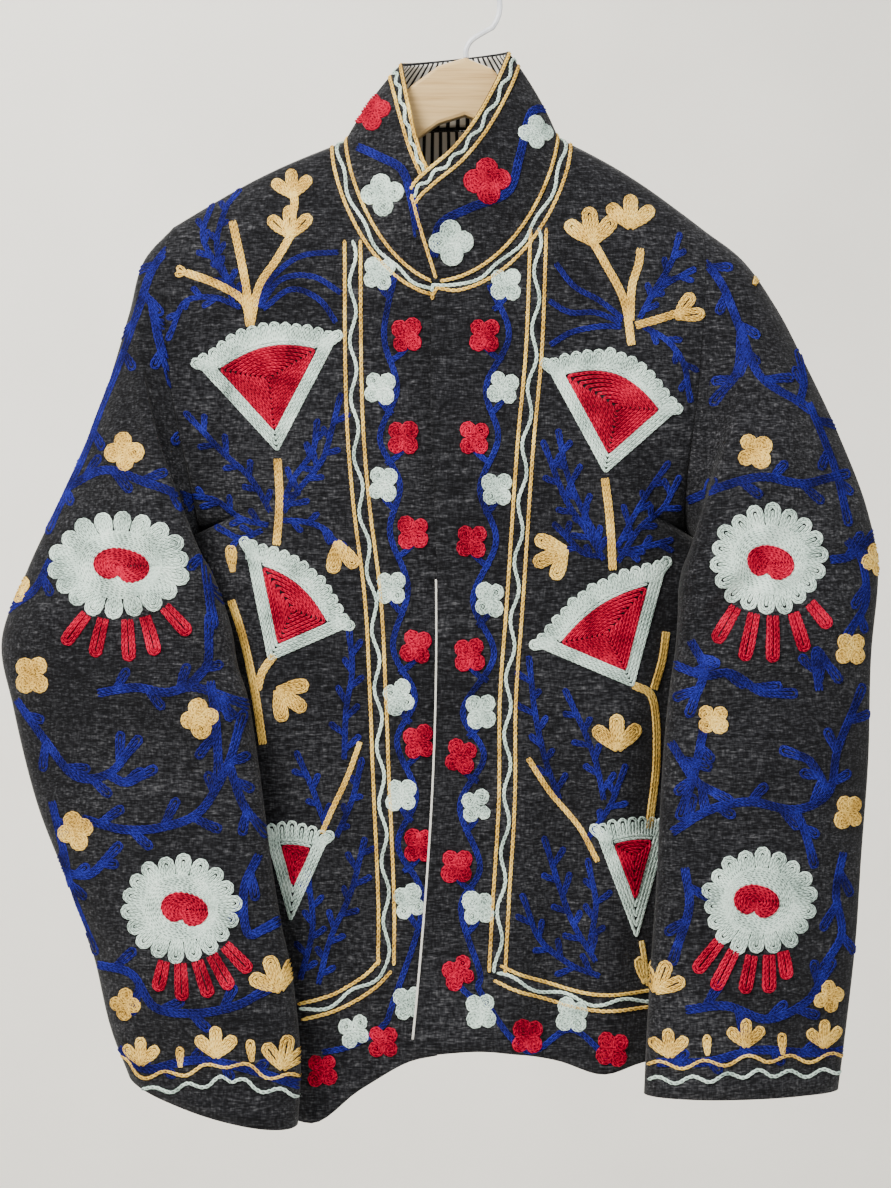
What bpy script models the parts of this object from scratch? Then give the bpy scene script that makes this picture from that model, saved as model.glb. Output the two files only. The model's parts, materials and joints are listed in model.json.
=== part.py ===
"""Embroidered jacket with a stand collar, hanging open-necked on a flat wooden hanger.

Sizes are in millimetres from the point where the hook is held: x runs to the viewer's right,
y away from the viewer and z up. Meshes are made in metres.
"""

import math

import bpy
import numpy as np

MM = 0.001
CLOTH = 1.6
LINING = 0.8
GAP = 0.3
SEAM_EASE = 0.7  # between pieces whose curved edges meet at an angle
LINING_EASE = 1.3  # between the two layers of the collar, whose facets differ
LAP_STEP = 5.5  # how far the lower front lies behind the one that laps over it
LAP_WIDTH = 18.0

# Grid lines. Armhole rows are shared by a panel and its sleeve, neck rows by a panel and the collar.
NECK_ROWS = 8
ARMHOLE_ROWS = 12
BODY_ROWS = 28
FRONT_COLUMNS = 11
SHOULDER_COLUMNS = 7
BACK_NECK_COLUMNS = 10
SLEEVE_RINGS = 25
COLLAR_ROWS = 4

V_NECK = NECK_ROWS / BODY_ROWS
V_ARM = ARMHOLE_ROWS / BODY_ROWS

BACK_DEPTH = 40.0  # neck seam at the middle of the back, behind the shoulder seams
SHOULDER_BULGE = 5.0
NECK_FORWARD = 0.78  # below 1, the neck seam runs forward over the board before it falls
NECK_FALL = 1.3
BACK_NECK_RISE = 12.0
SIDE_ROUNDNESS = 2.2
ARMHOLE_FULLNESS = 0.9
ARMHOLE_FRONT = 41.0
ARMHOLE_BACK = 35.0
ARMHOLE_BLEND = 0.5  # part of the sleeve over which the armhole's shape dies away


def table(columns, rows):
    """A table with named columns, read along its first column."""
    return dict(zip(columns.split(), np.array(rows, float).T))


SIDES = {
    "left": {"out": -1, "neck": (-88.0, -124.0), "tip": (-213.0, -187.0), "underarm": (-192.0, -410.6)},
    "right": {"out": 1, "neck": (69.0, -121.5), "tip": (174.0, -188.0), "underarm": (162.0, -410.6)},
}

# Seen from the front, how far out the armhole seam stands on the front and on the back.
ARMHOLE = {
    "left": table(
        "turn front_x back_x",
        [(0.0, -213, -213), (0.25, -217.5, -220), (0.5, -213.5, -220), (0.75, -199, -208), (1.0, -192, -192)],
    ),
    "right": table(
        "turn front_x back_x",
        [(0.0, 174, 174), (0.25, 175, 181), (0.5, 169.5, 179), (0.75, 160.5, 172), (1.0, 162, 162)],
    ),
}

# Side seams from the underarm to the hem, and the depth of the cloth at the middle there.
SIDE_SEAM = {
    "left": table(
        "down x z",
        [
            (0.0, -192, -410.6),
            (0.03, -199, -423),
            (0.07, -204, -440),
            (0.12, -206, -460),
            (0.25, -199, -512),
            (0.5, -199, -615),
            (0.75, -206, -717),
            (1.0, -214, -817),
        ],
    ),
    "right": table(
        "down x z",
        [
            (0.0, 162, -410.6),
            (0.03, 169, -422),
            (0.07, 177, -438),
            (0.12, 178, -458),
            (0.25, 172, -506),
            (0.5, 178, -601),
            (0.75, 186, -696),
            (1.0, 194, -790.7),
        ],
    ),
}

# The lapping front edge from the neck seam to the hem.
CENTRE_FRONT = table(
    "down x z depth",
    [
        (0.0, -23.8, -233.5, 52),
        (0.2, -24.6, -330, 57),
        (0.42, -20.2, -447, 56),
        (0.63, -21.5, -567, 52),
        (0.8, -27.0, -665, 53),
        (0.93, -34.0, -748, 57),
        (1.0, -38.0, -788.6, 60),
    ],
)
CENTRE_BACK_DEPTH = table("down depth", [(0.0, 40), (0.25, 44), (0.5, 42), (0.75, 41), (1.0, 45)])

# How far the hem hangs below a straight line from its front edge to its side seam, by place along it.
HEM_DROP = {
    "left": table(
        "along drop",
        [(0.0, 0), (0.09, 1), (0.3, 19), (0.46, 35), (0.52, 32), (0.73, 12), (1.0, 0)],
    ),
    "right": table(
        "along drop",
        [(0.0, 0), (0.28, -3.5), (0.46, 4), (0.59, 12), (0.71, 5), (0.85, 1), (1.0, 0)],
    ),
    "back": table("along drop", [(0.0, 0), (0.25, 2), (0.45, -16), (0.6, -16), (0.75, -4), (1.0, 0)]),
}
HEM_REACH = 6.0  # the higher, the closer to the hem its waves stay

# Soft folds: where each starts and ends across and down, how far it stands out and how wide it is.
FRONT_FOLDS = table(
    "top_x bottom_x top_z bottom_z height width",
    [
        (-150, -112, -360, -840, 9, 20),
        (-120, -70, -560, -840, -7, 17),
        (-160, -135, -250, -420, -5, 16),
        (-182, -160, -500, -840, -6, 18),
        (118, 104, -420, -830, 8, 18),
        (70, 62, -560, -830, -6, 19),
        (40, 24, -640, -830, 5, 16),
        (140, 150, -300, -520, -5, 16),
    ],
)
BACK_FOLDS = table(
    "top_x bottom_x top_z bottom_z height width",
    [
        (-150, -140, -300, -840, 8, 22),
        (-95, -88, -420, -840, -7, 20),
        (-30, -42, -520, -840, 8, 24),
        (30, 26, -420, -840, -6, 20),
        (85, 92, -300, -840, 8, 22),
        (130, 148, -460, -840, -5, 18),
    ],
)

# Sleeves: the outer and inner edge of each ring as seen from the front, and how thick it stands there.
SLEEVE_COLUMNS = "down outer_x outer_y outer_z inner_x inner_y inner_z front back drop"
SLEEVES = {
    "left": table(
        SLEEVE_COLUMNS,
        [
            (0.00, -213, 0, -187, -192, 0, -410.6, 41, 35, 0),
            (0.08, -234, -1, -212, -201, -19, -421, 42, 36, 0),
            (0.16, -244, -3, -250, -188, -40, -432, 42, 36, 0),
            (0.26, -264, -6, -318, -177, -55, -453, 40, 33, 0),
            (0.36, -291, -10, -382, -168, -63, -480, 37, 30, 0),
            (0.46, -318, -17, -440, -163, -66, -508, 36, 28, 0),
            (0.54, -336, -24, -490, -155, -70, -533, 34, 26, 0),
            (0.62, -327, -31, -538, -148, -75, -575, 32, 25, 0),
            (0.72, -309, -40, -606, -139, -82, -641, 30, 24, 2),
            (0.82, -286, -47, -663, -131, -88, -690, 29, 24, 4),
            (0.90, -266, -51, -716, -122, -92, -735, 29, 24, 7),
            (0.96, -253, -54, -768, -117, -94, -792, 29, 25, 9),
            (1.00, -240, -56, -799, -119, -96, -832, 30, 26, 10),
        ],
    ),
    "right": table(
        SLEEVE_COLUMNS,
        [
            (0.00, 174, 0, -188, 162, 0, -410.6, 41, 35, 0),
            (0.08, 204, -1, -212, 170, -17, -420, 42, 36, 0),
            (0.16, 227, -3, -246, 160, -40, -431, 42, 36, 0),
            (0.26, 250, -6, -292, 154, -55, -449, 40, 33, 0),
            (0.36, 273, -10, -342, 153, -61, -472, 37, 31, 0),
            (0.46, 293, -16, -397, 151, -66, -496, 36, 28, 0),
            (0.54, 300, -22, -440, 147, -70, -522, 34, 26, 0),
            (0.62, 294, -30, -500, 143, -75, -556, 32, 25, 0),
            (0.72, 291, -38, -575, 139, -82, -610, 30, 24, 0),
            (0.82, 285, -45, -645, 136, -88, -665, 29, 24, 0),
            (0.90, 280, -49, -710, 132, -92, -718, 29, 24, 0),
            (0.96, 273, -52, -768, 129, -94, -768, 29, 25, 1),
            (1.00, 267, -54, -811, 127, -96, -810, 30, 26, 2),
        ],
    ),
}
# Creases across a sleeve: place along and around it, lean, height, length and width.
SLEEVE_FOLDS = {
    "left": table(
        "down turn lean height along around",
        [
            (0.47, 0.34, 0.10, -8, 0.035, 0.11),
            (0.56, 0.36, 0.12, 6, 0.035, 0.12),
            (0.66, 0.30, -0.10, -5, 0.040, 0.12),
            (0.50, 0.14, -0.12, 5, 0.040, 0.09),
            (0.30, 0.30, 0.10, 5, 0.045, 0.10),
            (0.53, 0.70, 0.10, -6, 0.040, 0.12),
            (0.78, 0.70, -0.08, 5, 0.050, 0.12),
            (0.93, 0.32, 0.02, 4, 0.060, 0.07),
        ],
    ),
    "right": table(
        "down turn lean height along around",
        [
            (0.44, 0.34, 0.10, -7, 0.035, 0.11),
            (0.54, 0.36, 0.12, 6, 0.035, 0.12),
            (0.62, 0.30, -0.10, -5, 0.040, 0.12),
            (0.30, 0.22, 0.10, 5, 0.045, 0.09),
            (0.74, 0.20, 0.06, 4, 0.060, 0.08),
            (0.50, 0.70, 0.10, -6, 0.040, 0.12),
            (0.80, 0.70, -0.08, 5, 0.050, 0.12),
            (0.93, 0.28, 0.02, 4, 0.060, 0.07),
        ],
    ),
}

# Top edge of the collar, from its front end to the shoulder, over the back, and down the other side.
COLLAR_TOP = {
    "right": table(
        "up x y z",
        [
            (0.0, -40.2, -60, -167.7),
            (0.12, -37.0, -59.5, -160.2),
            (0.25, -27.4, -57.5, -150.5),
            (0.45, -9.4, -50, -134),
            (0.65, 7.3, -37, -110.6),
            (0.85, 23.5, -18, -79),
            (1.0, 32.0, 0, -57.5),
        ],
    ),
    "left": table(
        "up x y z",
        [
            (0.0, -18.0, -44.5, -159.3),
            (0.2, -29.0, -43.5, -144.2),
            (0.4, -35.2, -38, -125.4),
            (0.65, -40.8, -26, -97.4),
            (0.85, -44.5, -12, -76),
            (1.0, -46.0, 0, -66),
        ],
    ),
}
COLLAR_BACK_TOP = (30.0, -58.5)  # y and z at the middle of the back
COLLAR_SWELL = 3.0
LINING_SPAN = (0.05, 0.985)  # of the height of the collar

# The lining inside the back's neck: the rows of the panel that it lies along, and how far it stands off each.
NECK_LINING = table("row ease", [(0.3, 2.2), (1, 1.6), (2, 0.7), (3, 0.7)])

FACING_COLUMNS = (-1.4, 6.0, 22.0)  # from the front edge, on a panel FACING_PANEL wide
FACING_PANEL = 200.0
FACING_SPAN = (0.585, 0.985)
FACING_THICK = 0.6

BOARD_THICK = 12.0
BOARD_CLEARANCE = 12.2
BOARD_EDGE = 3.0
BOARD_TOP = table(
    "x z",
    [
        (-88, -136.2),
        (-73, -120.0),
        (-59, -103.0),
        (-36.5, -81.0),
        (-18, -68.0),
        (0, -62.5),
        (16, -68.0),
        (31, -80.0),
        (46, -101.5),
        (57, -118.0),
        (69, -133.7),
    ],
)
BOARD_HEIGHT = table(
    "x height",
    [(-203, 22), (-188, 33), (-120, 38), (-36, 43), (0, 43), (36, 43), (120, 38), (170, 33), (184, 22)],
)
BOARD_TIPS = (-203.0, 184.0)
BOARD_STATIONS = 30

HOOK_RADIUS = 26.0
HOOK_TURN = (-38, 166)  # degrees from the stem over the top to the free end
WIRE = 2.0
HOOK_STEM = table(
    "up x z",
    [(0.0, 1.0, -62.2), (0.25, 1.2, -56.0), (0.5, 5.0, -49.5), (0.75, 13.0, -44.2), (1.0, 20.5, -39.99)],
)


def read(rows, column, at):
    """The smooth value of one column, at places along the table's first column."""
    knots = next(iter(rows.values()))
    values = rows[column]
    slopes = np.gradient(values, knots)
    at = np.clip(at, knots[0], knots[-1])
    k = np.clip(np.searchsorted(knots, at, side="right") - 1, 0, len(knots) - 2)
    width = knots[k + 1] - knots[k]
    t = (at - knots[k]) / width
    start = (1 + 2 * t) * (1 - t) ** 2 * values[k] + t * (1 - t) ** 2 * width * slopes[k]
    end = t * t * (3 - 2 * t) * values[k + 1] - t * t * (1 - t) * width * slopes[k + 1]
    return start + end


def points(x, y, z):
    return np.stack(np.broadcast_arrays(x, y, z), -1).astype(float)


def unit(vectors):
    return vectors / np.linalg.norm(vectors, axis=-1, keepdims=True)


def mix(a, b, t):
    return a + (b - a) * t


def smooth(low, high, value):
    t = np.clip((value - low) / (high - low), 0, 1)
    return t * t * (3 - 2 * t)


def armhole(side, turn, back):
    """The armhole seam from the shoulder tip (turn 0) down to the underarm (turn 1)."""
    ends = SIDES[side]
    x = read(ARMHOLE[side], "back_x" if back else "front_x", turn)
    sweep = np.sin(np.pi * np.clip(turn, 0, 1)) ** ARMHOLE_FULLNESS
    y = ARMHOLE_BACK * sweep if back else -ARMHOLE_FRONT * sweep
    z = mix(ends["tip"][1], ends["underarm"][1], (1 - np.cos(np.pi * turn)) / 2)
    return points(x, y, z)


def outer_edge(side, v, back):
    """The armhole and below it the side seam."""
    seam = SIDE_SEAM[side]
    turn = np.clip(v / V_ARM, 0, 1)
    down = np.clip((v - V_ARM) / (1 - V_ARM), 0, 1)
    seam_y = (GAP / 2) * (1 if back else -1)
    below = points(read(seam, "x", down), seam_y, read(seam, "z", down))
    above = armhole(side, turn, back)
    above[..., 1] += seam_y
    return np.where((v < V_ARM)[..., None], above, below)


def inner_edge(side, v):
    """The neck seam and below it the front edge."""
    lap = 0.0 if side == "right" else LAP_STEP
    over = 0.0 if side == "right" else LAP_WIDTH
    down = np.clip((v - V_NECK) / (1 - V_NECK), 0, 1)
    x = read(CENTRE_FRONT, "x", down) + over
    z = read(CENTRE_FRONT, "z", down) - over * 0.15 * (1 - down)
    below = points(x, lap - read(CENTRE_FRONT, "depth", down), z)
    neck_x, neck_z = SIDES[side]["neck"]
    psi = np.pi / 2 * np.clip(v / V_NECK, 0, 1)
    front = below_start(side)
    above = points(
        mix(front[0], neck_x, np.cos(psi)),
        -GAP / 2 + (front[1] + GAP / 2) * np.sin(psi) ** NECK_FORWARD,
        mix(neck_z, front[2], np.sin(psi) ** NECK_FALL),
    )
    return np.where((v < V_NECK)[..., None], above, below)


def below_start(side):
    """Where the neck seam meets the front edge."""
    lap = 0.0 if side == "right" else LAP_STEP
    over = 0.0 if side == "right" else LAP_WIDTH
    x, z, depth = (read(CENTRE_FRONT, name, np.array(0.0)) for name in ("x", "z", "depth"))
    return float(x + over), float(lap - depth), float(z - over * 0.15)


def edge_depth(exact, v, s, full):
    """Depth taken from the outer edge: the armhole's own at the seam, and a slower change inside it."""
    slow = full * (1 - smooth(0.5 * V_ARM, 1.7 * V_ARM, v))
    slow = np.where(v < 0.5 * V_ARM, exact, slow)
    return mix(exact, slow, smooth(0, 0.3, 1 - s))


def fold_height(folds, x, z):
    height = np.zeros(np.broadcast(x, z).shape)
    for top_x, bottom_x, top_z, bottom_z, rise, width in zip(*folds.values()):
        t = np.clip((top_z - z) / (top_z - bottom_z), 0, 1)
        middle = mix(top_x, bottom_x, t)
        height = height + rise * smooth(0, 0.35, t) * np.exp(-(((x - middle) / width) ** 2))
    return height


def front_surface(side):
    def surface(v, s):
        inner, outer = inner_edge(side, v), outer_edge(side, v, False)
        place = mix(inner, outer, s[..., None])
        across = np.clip(s, 0, 1)
        bulge = (1 - across**SIDE_ROUNDNESS) ** (1 / SIDE_ROUNDNESS)
        y = mix(edge_depth(outer[..., 1], v, across, -ARMHOLE_FRONT), inner[..., 1], bulge)
        z = place[..., 2] - read(HEM_DROP[side], "drop", across) * v**HEM_REACH
        z = z + SHOULDER_BULGE * np.sin(np.pi * across) * (1 - v) ** 4
        still = smooth(0.02, 0.22, s) * smooth(0.0, 0.16, 1 - s) * smooth(0.05, 0.3, v)
        y = y - fold_height(FRONT_FOLDS, place[..., 0], z) * still
        return points(place[..., 0], y, z)

    return surface


SHOULDER_PART = SHOULDER_COLUMNS / (2 * SHOULDER_COLUMNS + BACK_NECK_COLUMNS)


def back_top(u):
    """The top of the back from the left shoulder tip along the neck to the right one."""
    left, right = SIDES["left"], SIDES["right"]
    a = np.clip(u / SHOULDER_PART, 0, 1)
    b = np.clip((1 - u) / SHOULDER_PART, 0, 1)
    psi = np.pi * np.clip((u - SHOULDER_PART) / (1 - 2 * SHOULDER_PART), 0, 1)
    half = GAP / 2
    shoulder_left, shoulder_right = (
        points(
            mix(end["tip"][0], end["neck"][0], along),
            half,
            mix(end["tip"][1], end["neck"][1], along) + SHOULDER_BULGE * np.sin(np.pi * along),
        )
        for end, along in ((left, a), (right, b))
    )
    neck = points(
        mix(left["neck"][0], right["neck"][0], (1 - np.cos(psi)) / 2),
        half + BACK_DEPTH * np.sin(psi),
        mix(left["neck"][1], right["neck"][1], (1 - np.cos(psi)) / 2) + BACK_NECK_RISE * np.sin(psi),
    )
    inside = (u > SHOULDER_PART) & (u < 1 - SHOULDER_PART)
    return np.where(inside[..., None], neck, np.where((u < 0.5)[..., None], shoulder_left, shoulder_right))


def back_surface(v, u):
    v, u = np.broadcast_arrays(v, u)
    zero, one = np.zeros_like(v), np.ones_like(v)
    left, right = outer_edge("left", v, True), outer_edge("right", v, True)
    top = back_top(u)
    hem_left, hem_right = outer_edge("left", one, True), outer_edge("right", one, True)
    tip_left, tip_right = outer_edge("left", zero, True), outer_edge("right", zero, True)
    ends_x = tip_right[..., 0] - tip_left[..., 0]
    share = (top[..., 0] - tip_left[..., 0]) / ends_x
    hem = mix(hem_left, hem_right, share[..., None])
    patch = (
        mix(top, hem, v[..., None])
        + (1 - share[..., None]) * (left - mix(tip_left, hem_left, v[..., None]))
        + share[..., None] * (right - mix(tip_right, hem_right, v[..., None]))
    )
    turn = np.clip(v / V_ARM, 0, 1)
    settled = np.sin(np.pi * np.minimum(turn, 0.5))
    middle = read(CENTRE_BACK_DEPTH, "depth", v) * settled
    offset = np.clip(np.abs(2 * share - 1), 0, 1)
    edge = edge_depth(mix(left[..., 1], right[..., 1], share), v, offset, ARMHOLE_BACK)
    bulge = (1 - offset**SIDE_ROUNDNESS) ** (1 / SIDE_ROUNDNESS)
    y = mix(edge, middle, bulge) + (top[..., 1] - GAP / 2) * (1 - settled)
    z = patch[..., 2] - read(HEM_DROP["back"], "drop", share) * v**HEM_REACH
    still = smooth(0.0, 0.1, share) * smooth(0.0, 0.1, 1 - share) * smooth(0.1, 0.35, v)
    y = y + fold_height(BACK_FOLDS, patch[..., 0], z) * still
    return points(patch[..., 0], y, z)


def ring(side, v, turn):
    """A sleeve ring before the armhole shapes it: turn 0 at its outer edge, a half at its inner one."""
    rows = SLEEVES[side]
    outer = points(*(read(rows, "outer_" + axis, v) for axis in "xyz"))
    inner = points(*(read(rows, "inner_" + axis, v) for axis in "xyz"))
    angle = 2 * np.pi * turn
    ahead = np.zeros_like(outer)
    ahead[..., 1] = -1.0
    along = unit(outer - inner)
    ahead = unit(ahead - (ahead * along).sum(-1, keepdims=True) * along)
    swing = np.sin(angle)
    full = np.sign(swing) * np.abs(swing) ** ARMHOLE_FULLNESS
    depth = np.where(swing > 0, read(rows, "front", v), read(rows, "back", v))
    place = mix(outer, inner, ((1 - np.cos(angle)) / 2)[..., None]) + ahead * (depth * full)[..., None]
    place[..., 2] -= read(rows, "drop", v) * swing
    return place, ahead * np.sign(full)[..., None]


def sleeve_surface(side):
    folds = SLEEVE_FOLDS[side]

    def surface(v, turn):
        turn = turn % 1.0
        place, ahead = ring(side, v, turn)
        half = np.where(turn <= 0.5, 2 * turn, 2 * (1 - turn))
        seam = np.where((turn <= 0.5)[..., None], armhole(side, half, False), armhole(side, half, True))
        start, _ = ring(side, np.zeros_like(v), turn)
        fade = np.clip(1 - v / ARMHOLE_BLEND, 0, 1)[..., None] ** 1.5
        place = place + (seam - start) * fade
        height = np.zeros_like(v)
        for down, around, lean, rise, length, width in zip(*folds.values()):
            off = turn - around
            height = height + rise * np.exp(-(((v - down - lean * off) / length) ** 2) - (off / width) ** 2)
        edge = np.abs(np.sin(2 * np.pi * turn))
        return place + ahead * (height * smooth(0.05, 0.2, v) * smooth(0.0, 0.5, edge))[..., None]

    return surface


def collar_edges(c):
    """Seam and top edge of the collar: c is 0 at the lapping end, 1 and 2 at the shoulders, 3 at the other end."""
    c = np.asarray(c, float)
    right = inner_edge("right", V_NECK * np.clip(1 - c, 0, 1))
    left = inner_edge("left", V_NECK * np.clip(c - 2, 0, 1))
    back = back_top(mix(1 - SHOULDER_PART, SHOULDER_PART, np.clip(c - 1, 0, 1)))
    base = np.where((c < 1)[..., None], right, np.where((c > 2)[..., None], left, back))
    flat = (np.abs(c - 1) < 1e-9) | (np.abs(c - 2) < 1e-9)
    base[..., 1] = np.where(flat, 0.0, base[..., 1])
    top_right = points(*(read(COLLAR_TOP["right"], axis, np.clip(c, 0, 1)) for axis in "xyz"))
    top_left = points(*(read(COLLAR_TOP["left"], axis, np.clip(3 - c, 0, 1)) for axis in "xyz"))
    start = points(*(read(COLLAR_TOP["right"], axis, np.array(1.0)) for axis in "xyz"))
    end = points(*(read(COLLAR_TOP["left"], axis, np.array(1.0)) for axis in "xyz"))
    psi = np.pi * np.clip(c - 1, 0, 1)
    share = ((1 - np.cos(psi)) / 2)[..., None]
    top_back = mix(start, end, share)
    top_back[..., 1] += COLLAR_BACK_TOP[0] * np.sin(psi)
    top_back[..., 2] += (COLLAR_BACK_TOP[1] - (start[2] + end[2]) / 2) * np.sin(psi)
    top = np.where((c < 1)[..., None], top_right, np.where((c > 2)[..., None], top_left, top_back))
    return base, top


def collar_surface(h, c):
    h, c = np.broadcast_arrays(h, c)
    base, top = collar_edges(c)
    place = mix(base, top, h[..., None])
    centre = points(-10.0, 0.0, place[..., 2])
    away = place - centre
    away[..., 2] = 0
    return place + unit(away) * (COLLAR_SWELL * 4 * h * (1 - h))[..., None]


def inward(surface, p, q, centre, wrap=False):
    """Unit vectors square to a surface, on the side of the centre."""
    step = 1e-4
    low_q, high_q = (q - step, q + step) if wrap else (np.clip(q - step, 0, None), np.clip(q + step, None, 1))
    if q.max() > 1:
        low_q, high_q = np.clip(q - step, 0, None), np.clip(q + step, None, q.max())
    along = surface(np.clip(p + step, 0, 1), q) - surface(np.clip(p - step, 0, 1), q)
    across = surface(p, high_q) - surface(p, low_q)
    square = unit(np.cross(along, across))
    place = surface(p, q)
    return square if ((centre(place) - place) * square).sum() > 0 else -square


def body_middle(place):
    return points(-10.0, 0.0, place[..., 2] - 40)


def sleeve_middle(side):
    def middle(place):
        rows = SLEEVES[side]
        down = np.linspace(0, 1, len(place)) if place.ndim == 3 else np.array([0.0])
        axis = points(*((read(rows, "outer_" + a, down) + read(rows, "inner_" + a, down)) / 2 for a in "xyz"))
        return axis[:, None] if place.ndim == 3 else axis

    return middle


def collar_middle(place):
    return points(-8.0, 0.0, place[..., 2] - 30)


def flat_seam(vectors):
    """Directions kept in the plane of the shoulder and side seams."""
    kept = vectors.copy()
    kept[..., 1] = 0
    return unit(kept)


def armhole_inward(side, turn, back):
    """One direction for the cut edges of panel and sleeve, so that they face each other along the seam."""
    v = turn * V_ARM
    full = turn / 2 if not back else 1 - turn / 2
    sleeve = inward(sleeve_surface(side), np.zeros_like(turn), full, sleeve_middle(side), wrap=True)
    if back:
        u = np.full_like(v, 0.0 if side == "left" else 1.0)
        panel = inward(back_surface, v, u, body_middle)
    else:
        panel = inward(front_surface(side), v, np.ones_like(v), body_middle)
    # At the underarm and the shoulder tip the normals mean little, so both come from the plane of the seam.
    joined = unit(sleeve + panel)
    corner = (turn < 1e-9) | (turn > 1 - 1e-9)
    tip_way = points(-0.35 * SIDES[side]["out"], 0, -1.0)
    underarm_way = points(-0.7 * SIDES[side]["out"], 0, 0.7)
    fixed = np.where((turn < 0.5)[..., None], tip_way, underarm_way)
    return np.where(corner[..., None], unit(fixed), joined)


def neck_inward(c):
    """One direction for the cut edges of the panels and the collar along the neck seam."""
    collar = inward(collar_surface, np.zeros_like(c), c, collar_middle)
    right = inward(front_surface("right"), V_NECK * np.clip(1 - c, 0, 1), np.zeros_like(c), body_middle)
    left = inward(front_surface("left"), V_NECK * np.clip(c - 2, 0, 1), np.zeros_like(c), body_middle)
    u = mix(1 - SHOULDER_PART, SHOULDER_PART, np.clip(c - 1, 0, 1))
    back = inward(back_surface, np.zeros_like(c), u, body_middle)
    panel = np.where((c < 1)[..., None], right, np.where((c > 2)[..., None], left, back))
    joined = unit(collar + panel)
    corner = (np.abs(c - 1) < 1e-9) | (np.abs(c - 2) < 1e-9)
    fixed = points(np.where(c < 1.5, -0.5, 0.5), 0, -0.85)
    return np.where(corner[..., None], unit(fixed), joined)


def material(name, colour, roughness, metallic=0.0):
    made = bpy.data.materials.new(name)
    made.use_nodes = True
    shader = made.node_tree.nodes["Principled BSDF"]
    shader.inputs["Base Color"].default_value = (*colour, 1)
    shader.inputs["Roughness"].default_value = roughness
    shader.inputs["Metallic"].default_value = metallic
    return made


def add_mesh(name, corners, faces, look):
    corners = np.asarray(corners, float) * MM
    thirds = np.array([(f[0], f[k], f[k + 1]) for f in faces for k in range(1, len(f) - 1)])
    a, b, c = (corners[thirds[:, k]] for k in range(3))
    if (a * np.cross(b, c)).sum() < 0:
        faces = [tuple(reversed(f)) for f in faces]
    mesh = bpy.data.meshes.new(name)
    mesh.from_pydata(corners.tolist(), [], [tuple(int(k) for k in f) for f in faces])
    mesh.materials.append(look)
    mesh.polygons.foreach_set("use_smooth", [True] * len(mesh.polygons))
    obj = bpy.data.objects.new(name, mesh)
    bpy.context.scene.collection.objects.link(obj)
    return obj


def wall(name, outer, into, thickness, look, around=False):
    """A closed wall: a grid of points, and the same grid moved inward."""
    rows, columns = outer.shape[:2]
    corners = np.concatenate([outer.reshape(-1, 3), (outer + into * thickness).reshape(-1, 3)])
    index = np.arange(rows * columns).reshape(rows, columns)
    if around:
        index = np.hstack([index, index[:, :1]])
    grid = np.stack([index[:-1, :-1], index[:-1, 1:], index[1:, 1:], index[1:, :-1]], -1).reshape(-1, 4)
    rims = [index[0], index[-1][::-1]]
    if not around:
        rims += [index[::-1, 0], index[:, -1]]
    below = rows * columns
    sides = [np.stack([rim[1:], rim[:-1], rim[:-1] + below, rim[1:] + below], -1) for rim in rims]
    faces = np.concatenate([grid, grid[:, ::-1] + below, *sides])
    return add_mesh(name, corners, faces.tolist(), look)


def loft(name, rings, look):
    """A solid through rings of points, closed at both ends."""
    count = len(rings[0])
    corners = np.concatenate(rings)
    faces = [tuple(range(count))[::-1], tuple(range(len(corners) - count, len(corners)))]
    for k in range(len(rings) - 1):
        for j in range(count):
            a, b = k * count + j, k * count + (j + 1) % count
            faces.append((a, b, b + count, a + count))
    return add_mesh(name, corners, faces, look)


def build_front(side, name, look):
    v = np.linspace(0, 1, BODY_ROWS + 1)
    s = 1 - (1 - np.linspace(0, 1, FRONT_COLUMNS + 1)) ** 1.5
    v, s = np.meshgrid(v, s, indexing="ij")
    surface = front_surface(side)
    into = inward(surface, v, s, body_middle)
    into[:, -1] = flat_seam(into[:, -1])
    into[0] = flat_seam(into[0])
    turn = v[: ARMHOLE_ROWS + 1, 0] / V_ARM
    into[: ARMHOLE_ROWS + 1, -1] = armhole_inward(side, turn, False)
    down = v[: NECK_ROWS + 1, 0] / V_NECK
    into[: NECK_ROWS + 1, 0] = neck_inward(1 - down if side == "right" else 2 + down)
    return wall(name, surface(v, s), into, CLOTH, look)


def build_back(look):
    v = np.linspace(0, 1, BODY_ROWS + 1)
    u = np.linspace(0, 1, 2 * SHOULDER_COLUMNS + BACK_NECK_COLUMNS + 1)
    v, u = np.meshgrid(v, u, indexing="ij")
    into = inward(back_surface, v, u, body_middle)
    for column in (0, -1):
        into[:, column] = flat_seam(into[:, column])
    for columns in (slice(0, SHOULDER_COLUMNS + 1), slice(-SHOULDER_COLUMNS - 1, None)):
        into[0, columns] = flat_seam(into[0, columns])
    turn = v[: ARMHOLE_ROWS + 1, 0] / V_ARM
    into[: ARMHOLE_ROWS + 1, 0] = armhole_inward("left", turn, True)
    into[: ARMHOLE_ROWS + 1, -1] = armhole_inward("right", turn, True)
    neck = np.linspace(2, 1, BACK_NECK_COLUMNS + 1)
    into[0, SHOULDER_COLUMNS : SHOULDER_COLUMNS + BACK_NECK_COLUMNS + 1] = neck_inward(neck)
    return wall("back_panel", back_surface(v, u), into, CLOTH, look)


def across_seam(edge, into, toward, wrap):
    """The direction square to a seam and to its cut edge, on the side of the next piece."""
    if wrap:
        along = np.roll(edge, -1, 0) - np.roll(edge, 1, 0)
    else:
        along = np.gradient(edge, axis=0)
    square = unit(np.cross(along, into))
    sign = np.sign((square * toward).sum(-1, keepdims=True))
    return square * sign


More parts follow.
